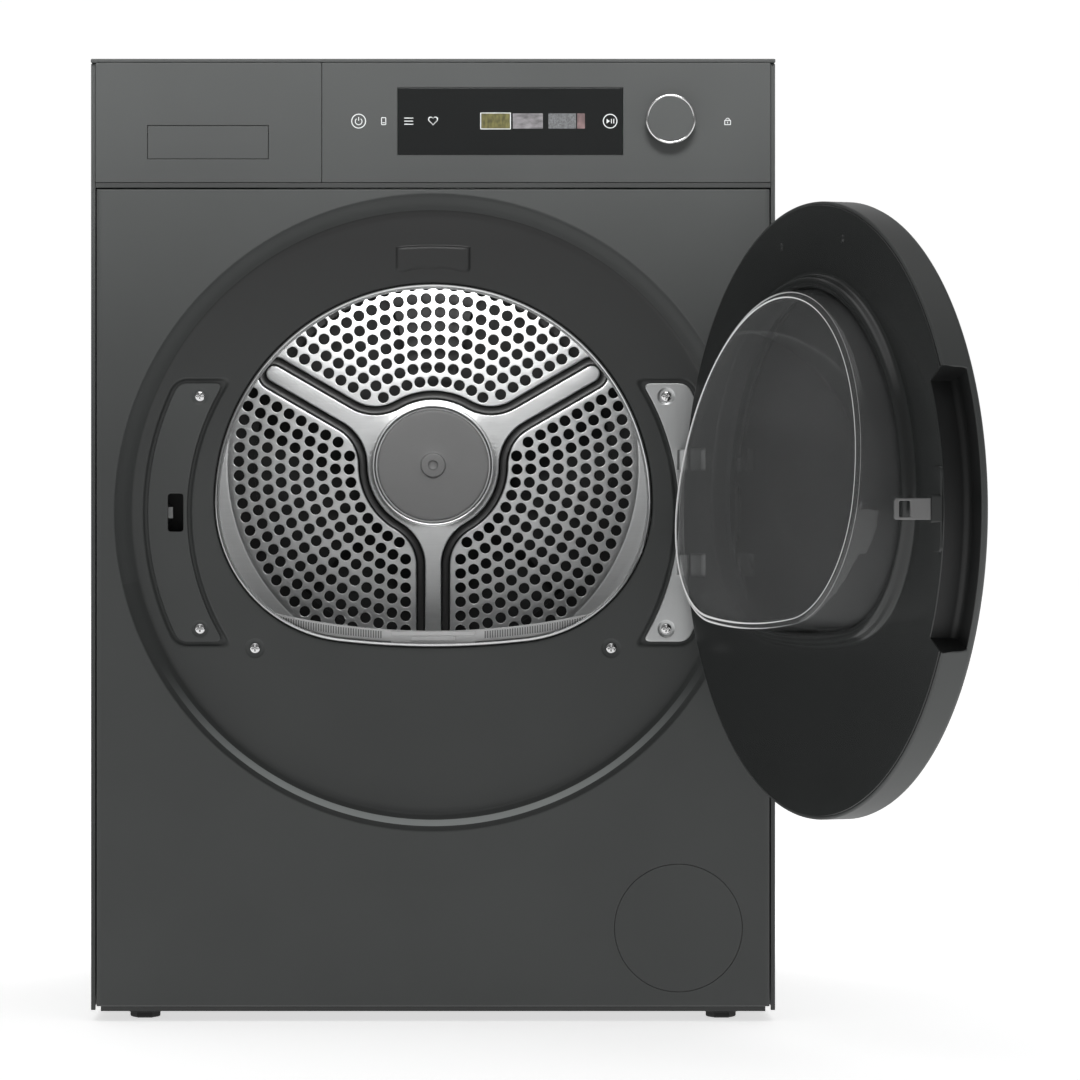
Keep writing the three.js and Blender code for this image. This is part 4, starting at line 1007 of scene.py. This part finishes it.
def door_cover():
    shape = Shape()
    out, inner, r, glass = DOOR_OUT, DOOR_IN - 1, DOOR_R - 0.5, DOOR_GLASS_R
    seat = [(glass - 8, out + 5.4), (glass + 0.2, out + 5.4), (glass + 0.2, out + 0.6), (glass + 0.8, out)]
    face = [(r - 30, out), (r - 4, out), (r - 2.2, out + 0.5), (r - 0.8, out + 1.8), (r, out + 3.8)]
    plain = [(r, out + 4.6), (r, out + 9), (r, out + 16), (r, inner - 2), (r - 0.2, inner - 0.9)]
    plain += [(r - 0.9, inner - 0.2), (r - 1.8, inner), (r - 2.4, inner), (r - 3, inner - 0.4)]
    plain += [(r - 3, inner - 10), (r - 3, out + 6), (r - 8, out + 3.6)]
    grip = [(r, out + 5.2), (r - 0.2, out + 6.2), (r - 0.8, out + 6.8), (r - 1.6, out + 7)]
    grip += [(HANDLE_R + 7, out + 7), (HANDLE_R + 2.5, out + 7.6), (HANDLE_R + 0.6, out + 9.6)]
    grip += [(HANDLE_R, out + 12), (HANDLE_R, inner), (HANDLE_R - 2.4, inner), (HANDLE_R - 2.4, out + 9)]
    grip += [(HANDLE_R - 3, out + 3.6)]
    back = [(glass + 6, out + 3), (glass + 6, out + 8), (glass - 8, out + 8)]
    rows = []
    for angle in rim_angles():
        share = notch(angle)
        blend = [
            (a[0] + (b[0] - a[0]) * share, a[1] + (b[1] - a[1]) * share) for a, b in zip(plain, grip)
        ]
        cos, sin = math.cos(angle), math.sin(angle)
        height = abs(r * sin) if cos > 0 else r
        top = inner - 24 if abs(height - 46) < 15 else inner - 4 if height < 46 else inner
        section = [(radius, min(y, top)) for radius, y in seat + face + blend + back]
        rows.append([(radius * cos, y, RING_Z + radius * sin) for radius, y in section])
    shape.skin(rows + rows[:1])
    end = HANDLE_HALF + 0.5

    def in_grip(p):
        deep = math.hypot(p.x, p.z - RING_Z) < DOOR_R - 1.0
        return p.x < 0 and abs(p.z - RING_Z) < end and p.y > out + 6.6 and deep

    grip = coated("grip_plastic", (0.004, 0.0045, 0.0045), 0.5, 1500, 0)
    door_piece("door_cover_shell", shape, ("door_cover",), sharp=40, second=(grip, in_grip))


def liner_edge(inset=0.0):
    """The liner's outline, drawn in at the finger grip."""
    points = []
    for angle in rim_angles():
        r = DOOR_R - 3.4 - inset + (HANDLE_R - DOOR_R + 3.2) * notch(angle)
        points.append((r * math.cos(angle), RING_Z + r * math.sin(angle)))
    return points


def arm_slot(side):
    z = RING_Z + side * 46
    return lambda grow: rect(HINGE_X - 33 - grow, HINGE_X + 2 + grow, z - 10 - grow, z + 10 + grow, 2 + grow)


def strike_slot(grow):
    return rect(-229 - 2 - grow, -229 + 2 + grow, RING_Z - 9.2 - grow, RING_Z + 9.2 + grow, 0.8 + grow)


def door_liner():
    shape = Shape()
    y = DOOR_IN
    slots = [arm_slot(-1), arm_slot(1), strike_slot]
    shape.skin(edge_rows(liner_edge, y, y - 2, 0.7))
    for hole in slots:
        shape.skin(edge_rows(hole, y, y - 2, 0.5))
    foot = [(-3.0, 0.0), (-5.2, 0.35), (-6.6, 1.4), (-7.4, 3.2), (-7.9, 5.6), (-8.7, 7.6), (-10.2, 8.7)]
    crest = [(-12.0, RIDGE), (-14.6, RIDGE), (-16.4, RIDGE - 0.6), (-17.5, RIDGE - 2), (-17.8, RIDGE - 4)]
    rows = [lift(mouth(offset), y + up) for offset, up in foot + crest]
    shape.skin(rows + [lift(mouth(-17.8), y - 3)])
    front = [liner_edge(0.7), mouth(-3.0)] + [hole(0.5) for hole in slots]
    shape.fill(front, lambda x, z: (x, y, z))
    door_piece("door_liner_moulding", shape, ("door_liner",), sharp=40)
    details = Shape()
    for x in (-57, 57):
        turned(details, [(0.01, y + 1), (2.4, y + 1), (3.2, y + 0.7), (3.6, y)], x, RING_Z + 221, 24, closed=False)
    door_piece("door_liner_pegs", details, slot="liner_plastic")
    pad = Shape()
    plate(pad, lambda d: rect(-231.5 + d, -215 - d, RING_Z - 34 + d, RING_Z + 34 - d, 4 - d), y + 1.6, y - 0.5, 1.2)
    sleeve = lambda d: rect(-231.4 + d, -226.6 - d, RING_Z - 11 + d, RING_Z + 11 - d, 1.6 - d)
    plate(pad, sleeve, y + 9.3, y + 1, 0.6)
    door_piece("door_strike_sleeve", pad, slot="liner_plastic")


def bowl_depth(z, loss):
    high, low = MOUTH_Z + MOUTH_R + BOWL_TIP, MOUTH_Z - MOUTH_DROP - BOWL_TIP
    return BOWL_TOP + (high - z) / (high - low) * (BOWL_BOTTOM - BOWL_TOP) - loss


def door_bowl():
    """A smoked bowl whose end face slopes, deeper at the bottom than at the top."""
    shape = Shape()
    wall = [(0.0, 0.0), (0.6, 0.3), (1.2, 0.6), (1.7, 0.8), (2.2, 0.92), (3.0, 0.97), (4.2, 0.993), (5.6, 1.0)]
    bead = [(7.0, 0.15), (7.8, 0.3), (8.6, 0.2), (9.0, -0.5), (9.8, -0.8)]  # a crisp edge round the end

    def skin_rows(shrink, loss):
        rows = [lift(mouth(BOWL_BASE - shrink), DOOR_IN - 6.5)]
        for inset, share in wall:
            loop = mouth(BOWL_BASE - inset - shrink)
            rows.append([(x, DOOR_IN + share * bowl_depth(z, loss), z) for x, z in loop])
        for inset, extra in bead:
            loop = mouth(BOWL_BASE - inset - shrink)
            rows.append([(x, DOOR_IN + bowl_depth(z, loss) + extra, z) for x, z in loop])
        return rows

    for shrink, loss in ((0.0, 0.0), (2.6, 2.6)):
        shape.skin(skin_rows(shrink, loss))
        tip_inset, dip = bead[-1]
        tip = mouth(BOWL_BASE - tip_inset - shrink)
        shape.fill([tip], lambda x, z: (x, DOOR_IN + bowl_depth(z, loss) + dip, z))
    rim = [(BOWL_BASE, -6.5), (BOWL_BASE + 9, -6.5), (BOWL_BASE + 9, -3), (BOWL_BASE, -3)]
    shape.skin([lift(mouth(offset), DOOR_IN + up) for offset, up in rim[:1] + rim[1:3]])
    shape.skin([lift(mouth(offset), DOOR_IN + up) for offset, up in rim[2:]])
    shape.skin([lift(mouth(BOWL_BASE - d), DOOR_IN - 6.5) for d in (0.0, 2.6)])
    door_piece("door_bowl_smoked", shape, ("door_bowl",), sharp=50)


def bowl_highlight_strips():
    """Thin strips round the bowl's end that glow as painted highlights: one all the way round, one on the hinge's
    side.
    """
    edge = glowing_highlight_material()
    for name, inset, depth, fades in (("inner", 7.6, 0.45, False), ("outer", 3.4, -2.2, True)):
        shape = Shape()
        rows = []
        inside, outside = mouth(BOWL_BASE - inset), mouth(BOWL_BASE - inset + 1.7)
        for rise in (0.0, 0.25):
            for near, far, swap in ((inside, outside, rise > 0), (inside, outside, rise == 0)):
                row = []
                for (x0, z0), (x1, z1) in zip(near, far):
                    near_hinge = min(1.0, max(0.0, (x0 + 90) / 160))
                    share = max(0.02, near_hinge) if fades else 0.3 + 0.7 * near_hinge
                    step = share if swap else 0.0
                    x, z = x0 + (x1 - x0) * step, z0 + (z1 - z0) * step
                    row.append((x, DOOR_IN + bowl_depth(z, 0) + depth + rise - 0.25, z))
                rows.append(row)
        rows = [rows[0], rows[1], rows[2], rows[3], rows[0]]
        shape.skin(rows)
        # Every face of each strip takes the glowing material: a painted highlight.
        door_piece("door_bowl_highlight_strip_" + name, shape, slot="bowl_glass", second=(edge, lambda p: True))


def door_window():
    shape = Shape()
    r, y = DOOR_GLASS_R - 0.4, DOOR_OUT
    profile = [(0.01, y), (r - 0.8, y), (r - 0.2, y + 0.25), (r, y + 0.8), (r, y + 5), (0.01, y + 5)]
    turned(shape, profile, 0, RING_Z)
    door_piece("door_window_pane", shape, ("door_window",))


def door_strike():
    """A steel tongue with round corners and a hole for the catch."""
    shape = Shape()
    x, half, thick, tip = -229.0, 8.5, 2.0, DOOR_IN + 41
    size = 0.4

    def blade(inset):
        points = rect(DOOR_IN - 6 + inset, tip - inset, RING_Z - half + inset, RING_Z + half - inset, 2.2)
        return points

    def eye(grow):
        reach = half - 2.2 + grow
        return rect(tip - 14 - grow, tip - 4 + grow, RING_Z - reach, RING_Z + reach, 1.2 + grow)

    for loop in (blade, eye):
        for side in (-1, 1):
            face, middle = x + side * thick / 2, x
            rows = [lift(loop(row[0]), 0) for row in ((size,), (size * 0.3,), (0,))]
            depths = (face, face - side * size * 0.3, face - side * size)
            placed = [[(depth, py, pz) for py, _, pz in row] for row, depth in zip(rows, depths)]
            placed.append([(middle, py, pz) for py, _, pz in rows[-1]])
            shape.skin(placed)
    for side in (-1, 1):
        face = x + side * thick / 2
        shape.fill([blade(size), eye(size)], lambda py, pz: (face, py, pz))
    steel = brushed("strike_steel", (0.24, 0.24, 0.24), 0.4, (300, 300, 30))
    door_piece("door_strike_tongue", shape, ("door_strike",), second=(steel, lambda p: True))


def hinge_pin():
    shape = Shape()
    half = (Box("hinge_pin").z1 - Box("hinge_pin").z0) / 2
    profile = [(0.01, RING_Z - half), (2.5, RING_Z - half), (3, RING_Z - half + 0.5)]
    profile += [(3, RING_Z + half - 0.5), (2.5, RING_Z + half), (0.01, RING_Z + half)]
    upright(shape, profile, HINGE_X, HINGE_Y, 32)
    door_piece("hinge_pin_turned", shape, ("hinge_pin",))


# ---------- fascia ----------
def dial():
    shape = Shape()
    r, y0 = (DIAL.x1 - DIAL.x0) / 2, DIAL.y0
    y1 = FRONT - 0.4
    cap = [(0.01, y0 + 0.5), (r - 2.4, y0 + 0.5), (r - 2.4, y0 + 1.4), (r - 2.6, y0 + 1.8)]
    body = [(r - 0.9, y0 + 1.4), (r - 0.5, y0 + 2.2), (r - 0.5, y1 - 0.5), (r - 1.2, y1)]
    body += [(4, y1), (4, FRONT + 12), (0.01, FRONT + 12)]
    turned(shape, cap + body, DIAL.x, DIAL.z, 128)
    piece("dial_knob_cap", shape, "dial", ("dial_knob",))
    ring = Shape()
    chrome = [(r - 2.2, y0 + 1.5), (r - 2.2, y0 + 0.4), (r - 1.8, y0 + 0.05), (r - 1.1, y0), (r - 0.4, y0 + 0.3)]
    chrome += [(r, y0 + 1.0), (r, y0 + 3.0), (r - 0.4, y0 + 3.2), (r - 0.7, y0 + 1.5)]
    turned(ring, chrome, DIAL.x, DIAL.z, 128)
    piece("dial_ring", ring, "dial", slot="screw_steel")


def glowing(name, colour, strength, pattern=None):
    """A lit mark or picture on the display."""
    nodes = Nodes(name)
    nodes.set(Roughness=0.4, Emission_Strength=strength)
    fine = nodes.noise(60, 3, pattern and nodes.scaled(*pattern))
    node = nodes.add("ShaderNodeMix", data_type="RGBA")
    node.inputs["A"].default_value = (*shade(colour, 0.35 if pattern else 0.95), 1)
    node.inputs["B"].default_value = (*colour, 1)
    nodes.link(nodes.spread(fine, 0, 1), node.inputs["Factor"])
    nodes.link(node.outputs["Result"], nodes.shader.inputs["Base Color"])
    nodes.link(node.outputs["Result"], nodes.shader.inputs["Emission Color"])
    return nodes.material


MARK_Y = FRONT - 0.05
MARK_THICK = 0.12


def mark_ring(shape, x, z, r, width, start=0.0, end=math.tau):
    """A thin printed ring or arc."""
    whole = abs(end - start - math.tau) < 1e-6
    outer = arc(x, z, r, start, end, 40, closed=not whole)
    inner = arc(x, z, r - width, start, end, 40, closed=not whole)
    if whole:
        y = MARK_Y
        shape.skin([lift(inner, y), lift(outer, y), lift(outer, y + MARK_THICK), lift(inner, y + MARK_THICK), lift(inner, y)])
    else:
        mark_fill(shape, outer + inner[::-1])


def mark_fill(shape, outline):
    shape.skin([lift(outline, y) for y in (MARK_Y, MARK_Y + MARK_THICK)])
    for y in (MARK_Y, MARK_Y + MARK_THICK):
        shape.fill([outline], lambda px, pz, y=y: (px, y, pz))


def mark_line(shape, x0, z0, x1, z1, width):
    dx, dz = x1 - x0, z1 - z0
    length = math.hypot(dx, dz)
    nx, nz = -dz / length * width / 2, dx / length * width / 2
    mark_fill(shape, [(x0 - nx, z0 - nz), (x1 - nx, z1 - nz), (x1 + nx, z1 + nz), (x0 + nx, z0 + nz)])


def heart(x, z, size, steps=40):
    points = []
    for i in range(steps):
        t = math.tau * i / steps
        px = 16 * math.sin(t) ** 3
        pz = 13 * math.cos(t) - 5 * math.cos(2 * t) - 2 * math.cos(3 * t) - math.cos(4 * t)
        points.append((x - px * size / 32, z + (pz + 2.5) * size / 32))
    return points


def mark_frame(shape, x, z, half_w, half_h, r, width):
    outer = rect(x - half_w, x + half_w, z - half_h, z + half_h, r)
    inner_r = max(r - width, 0.1)
    inner = rect(x - half_w + width, x + half_w - width, z - half_h + width, z + half_h - width, inner_r)
    y = MARK_Y
    shape.skin([lift(inner, y), lift(outer, y), lift(outer, y + MARK_THICK), lift(inner, y + MARK_THICK), lift(inner, y)])


def put_marks(name, shape, material, body="cabinet", slot="display_glass"):
    thing = piece(name, shape, body, slot=slot)
    thing.data.materials.clear()
    thing.data.materials.append(material)


def panel_marks():
    """Touch icons on the fascia, and what the display shows, without any words."""
    z, line = 780.2, 0.85
    shape = Shape()
    mark_ring(shape, -65.2, z, 6.5, line)
    mark_ring(shape, -65.2, z - 0.2, 3.3, 0.75, math.radians(130), math.radians(410))
    mark_line(shape, -65.2, z + 0.4, -65.2, z + 3.6, 0.75)
    mark_frame(shape, -43.3, z, 2.2, 3.4, 0.8, 0.7)
    mark_line(shape, -44.4, z - 1.4, -42.2, z - 1.4, 0.6)
    for dz in (-2.7, 0, 2.7):
        mark_line(shape, -25.3, z + dz, -17.4, z + dz, 0.8)
    put_marks("touch_icons", shape, glowing("icon_light", (0.7, 0.72, 0.72), 0.12), slot="graphite_paint")
    lit = Shape()
    outer, inner = heart(0, z, 8.8), heart(0, z + 0.05, 6.9)
    lit.skin([lift(inner, MARK_Y), lift(outer, MARK_Y), lift(outer, MARK_Y + MARK_THICK), lift(inner, MARK_Y + MARK_THICK), lift(inner, MARK_Y)])
    mark_ring(lit, 155.1, z, 6.4, line)
    mark_fill(lit, [(152.0, z + 2.0), (152.0, z - 2.0), (154.9, z)])
    for x in (156.2, 158.3):
        mark_line(lit, x, z - 2.0, x, z + 2.0, 0.7)
    put_marks("display_icons", lit, bpy.data.materials["icon_light"])
    padlock = Shape()
    mark_frame(padlock, 258, z - 1.2, 2.9, 2.2, 0.5, 0.7)
    mark_ring(padlock, 258, z + 1.0, 1.9, 0.65, 0, math.pi)
    mark_line(padlock, 258, z - 2.0, 258, z - 0.4, 0.6)
    put_marks("lock_icon", padlock, bpy.data.materials["icon_light"], slot="graphite_paint")


def display_pictures():
    """Four small pictures of cloth in a row; the first is framed."""
    low, high = 773.0, 787.7
    tiles = [
        ("olive", 42.2, 67.4, (0.13, 0.12, 0.035), (8, 1, 3)),
        ("mauve", 69.8, 96.2, (0.22, 0.21, 0.22), (2, 1, 5)),
        ("slate", 101.0, 125.2, (0.16, 0.165, 0.17), (14, 1, 14)),
        ("rose", 126.2, 133.0, (0.2, 0.13, 0.13), (3, 1, 2)),
    ]
    for name, x0, x1, colour, pattern in tiles:
        shape = Shape()
        mark_fill(shape, rect(x0, x1, low + 0.7, high - 0.7, 0.3, 3))
        put_marks(f"display_picture_{name}", shape, glowing(f"picture_{name}", colour, 0.5, pattern))
    border = Shape()
    mark_frame(border, (41.3 + 68.2) / 2, (low + high) / 2, 13.45, 7.35, 0.5, 0.8)
    put_marks("display_picture_frame", border, bpy.data.materials["icon_light"])


def display_pane():
    shape = Shape()
    plate(
        shape,
        lambda d: rect(GLASS.x0 + d, GLASS.x1 - d, GLASS.z0 + d, GLASS.z1 - d, 0.8),
        GLASS.y0 + 0.1,
        GLASS.y1,
        0.3,
    )
    piece("display_pane", shape, "cabinet", ("display_glass",))


# ---------- feet, rear ----------
def feet():
    for node, body in (
        ("foot_front_left", "foot_fl"),
        ("foot_front_right", "foot_fr"),
        ("foot_rear_left", "foot_rl"),
        ("foot_rear_right", "foot_rr"),
    ):
        box = Box(node)
        x, y, z = box.x, (box.y0 + box.y1) / 2, box.z0
        shape = Shape()
        pad = [(0.01, z), (11.6, z), (13.1, z + 0.9), (13.3, z + 2), (13.3, z + 5), (0.01, z + 5)]
        upright(shape, pad, x, y, 6)
        collar = [(0.01, z + 5), (14.4, z + 5), (15.9, z + 5.4), (16.1, z + 6.2), (16.1, z + 7.4)]
        collar += [(15.6, z + 8.0), (5, z + 8.0)]
        for turn in range(8):
            start = z + 10 + turn * 2.9
            collar += [(5.0, start), (4.3, start + 0.7), (4.3, start + 1.5), (5.0, start + 2.2)]
        collar += [(5, box.z1), (0.01, box.z1)]
        upright(shape, collar, x, y, 48)
        piece(f"{node}_levelling", shape, body, (node,))


def rear_duct_cover():
    shape = Shape()
    y = DUCT.y0
    profile = [(0.01, y + 22), (60, y + 22), (66, y + 21.2), (72, y + 20.4), (120, y + 20.4), (126, y + 21.2)]
    profile += [(132, y + 22), (184, y + 22), (188, y + 21), (190.5, y + 18.6), (200.5, y + 4.4)]
    profile += [(203, y + 2.4), (206, y + 1.8), (214.2, y + 1.8), (215, y + 1.0), (215, y), (201.5, y)]
    profile += [(188, y + 17.5), (185, y + 20), (0.01, y + 20)]
    turned(shape, profile, 0, DRUM_Z, 144)
    # The cover's inner faces, behind the drum's holes, are black: painted shade where little light reaches.
    dark = finish("black_plastic")

    def inner(p):
        slope = 190.5 + (y + 18.6 - p.y) * 0.704
        return p.y < y + 20.2 and math.hypot(p.x, p.z - DRUM_Z) < slope - 1.2

    piece("rear_duct_cover_pressed", shape, "cabinet", ("rear_duct_cover",), second=(dark, inner))
    bolts = Shape()
    for i in range(8):
        angle = math.tau * (i + 0.5) / 8
        x, z = 209.3 * math.cos(angle), DRUM_Z + 209.3 * math.sin(angle)
        turned(bolts, [(0.01, y + 4.4), (2.2, y + 4.3), (3.8, y + 3.4), (4.1, y + 1.8)], x, z, 24, closed=False)
    piece("duct_cover_screws", bolts, "cabinet", slot="screw_steel")


def cord_gland():
    shape = Shape()
    y1, r = GLAND.y1, (GLAND.x1 - GLAND.x0) / 2
    profile = [(4.5, GLAND.y0), (4.5, y1 - 0.8), (5.3, y1), (8.5, y1), (9.2, y1 - 1), (r - 1, y1 - 1.2)]
    profile += [(r, y1 - 2.2), (r, y1 - 4.6), (11, y1 - 4.6), (11, GLAND.y0)]
    turned(shape, profile, GLAND.x, GLAND.z, 64)
    piece("cord_gland_moulded", shape, "cabinet", ("cord_gland",))


# ---------- CAD nodes that stay ----------
def soften(node, width, segments=3):
    """Round edges on a CAD node that keeps its shape."""
    thing = frame["nodes"][node]
    weld = thing.modifiers.new("weld", "WELD")
    weld.merge_threshold = 1e-5
    bevel = thing.modifiers.new("round_edges", "BEVEL")
    bevel.width = width * MM
    bevel.segments = segments
    bevel.limit_method = "ANGLE"
    bevel.angle_limit = math.radians(40)
    bevel.harden_normals = True


def dress_frame():
    """Gives every CAD node that is still shown its slot's material."""
    for node, thing in frame["nodes"].items():
        if thing.hide_render:
            continue
        thing.data.materials.clear()
        special = {"rear_panel": zinc_with_painted_shade_inside, "base_tub": lambda: finish("liner_plastic")}
        make = special.get(node, lambda: finish(SLOT_OF[node]))
        thing.data.materials.append(make())
    for node, width in (
        ("side_panel_left", 0.5),
        ("side_panel_right", 0.5),
        ("worktop", 1.0),
        ("fascia_panel", 0.7),
        ("fascia_frame", 0.3),
        ("tank_front", 0.7),
        ("tank_flap", 0.4),
        ("rear_panel", 0.3),
        ("base_tub", 1.0),
        ("water_tank", 0.8),
    ):
        soften(node, width)


# ---------- studio ----------
SKY_LIGHT = 0.9
ROOM_LIGHT = 0.18  # of the room in front, against the white behind the machine


def studio():
    floor = bpy.data.meshes.new("floor")
    half, z = 30.0, cad_box[0].z
    corners = [(-half, -half, z), (half, -half, z), (half, half, z), (-half, half, z)]
    floor.from_pydata(corners, [], [(0, 1, 2, 3)])
    ground = bpy.data.objects.new("floor", floor)
    bpy.context.scene.collection.objects.link(ground)
    nodes = Nodes("pale_floor")
    nodes.set(Roughness=0.9, Emission_Color=(1, 1, 1, 1), Emission_Strength=0.64)
    nodes.tint(nodes.spread(nodes.noise(0.7, 2), 0, 1), (0.93, 0.93, 0.93), (0.95, 0.95, 0.95))
    floor.materials.append(nodes.material)

    world = bpy.data.worlds.new("studio")
    world.use_nodes = True
    tree = world.node_tree
    coords = tree.nodes.new("ShaderNodeTexCoord")
    split = tree.nodes.new("ShaderNodeSeparateXYZ")
    ramp = tree.nodes.new("ShaderNodeMapRange")
    ramp.interpolation_type = "SMOOTHSTEP"
    for name, value in (("From Min", 0.55), ("From Max", 0.95), ("To Min", ROOM_LIGHT), ("To Max", 1.02)):
        ramp.inputs[name].default_value = value
    tree.links.new(coords.outputs["Generated"], split.inputs["Vector"])
    tree.links.new(split.outputs["Y"], ramp.inputs["Value"])
    sky = tree.nodes.new("ShaderNodeMapRange")
    sky.interpolation_type = "SMOOTHSTEP"
    for name, value in (("From Min", 0.75), ("From Max", 0.97), ("To Min", 0.0), ("To Max", SKY_LIGHT)):
        sky.inputs[name].default_value = value
    both = tree.nodes.new("ShaderNodeMath")
    tree.links.new(split.outputs["Z"], sky.inputs["Value"])
    tree.links.new(ramp.outputs["Result"], both.inputs[0])
    tree.links.new(sky.outputs["Result"], both.inputs[1])
    tree.links.new(both.outputs["Value"], tree.nodes["Background"].inputs["Strength"])
    tree.nodes["Background"].inputs["Color"].default_value = (1, 1, 1, 1)
    bpy.context.scene.world = world
    bpy.context.scene.view_settings.view_transform = "Standard"


def area_light(name, place, aim, width, height, power, spread=180):
    light = bpy.data.lights.new(name, "AREA")
    light.shape = "RECTANGLE"
    light.size, light.size_y = width, height
    light.energy = power
    light.spread = math.radians(spread)
    lamp = bpy.data.objects.new(name, light)
    bpy.context.scene.collection.objects.link(lamp)
    lamp.location = place
    direction = Vector(aim) - Vector(place)
    lamp.rotation_euler = direction.to_track_quat("-Z", "Y").to_euler()
    return lamp


def lights():
    front = FRONT * MM
    top = cad_box[1].z
    softbox = (0, front - 0.55, top + 0.35)
    area_light("front_top_softbox", softbox, (0, front, top - 0.04), 1.4, 0.2, 1.1, spread=38)
    drum_top = DRUM_Z * MM + 0.24
    area_light("drum_lamp", (0, -0.2, drum_top), (0, BACK_Y * MM, drum_top - 0.1), 0.25, 0.04, 1.15)


def camera():
    """At the height of the opening's lower half, straight in front, shifted to take in the open door."""
    data = bpy.data.cameras.new("camera")
    distance, width = 4.03, 0.946  # to the front plane, and what the frame spans there
    data.sensor_width = 36
    data.lens = data.sensor_width * distance / width
    data.shift_x = 0.099
    data.clip_end = 100
    eye = bpy.data.objects.new("camera", data)
    bpy.context.scene.collection.objects.link(eye)
    eye.location = (0, FRONT * MM - distance, 0.4133)
    eye.rotation_euler = (math.pi / 2, 0, 0)
    bpy.context.scene.camera = eye


camera()
front_panel()
service_cover()
latch_cover()
hinge_plate()
screws()
mouth_ring()
mouth_gasket()
lint_filter()
drum_shell()
drum_rear_wall()
hub_cap()
lifters()
door_cover()
door_liner()
door_bowl()
bowl_highlight_strips()
door_window()
door_strike()
hinge_pin()
dial()
display_pane()
panel_marks()
display_pictures()
feet()
rear_duct_cover()
cord_gland()
dress_frame()
studio()
lights()
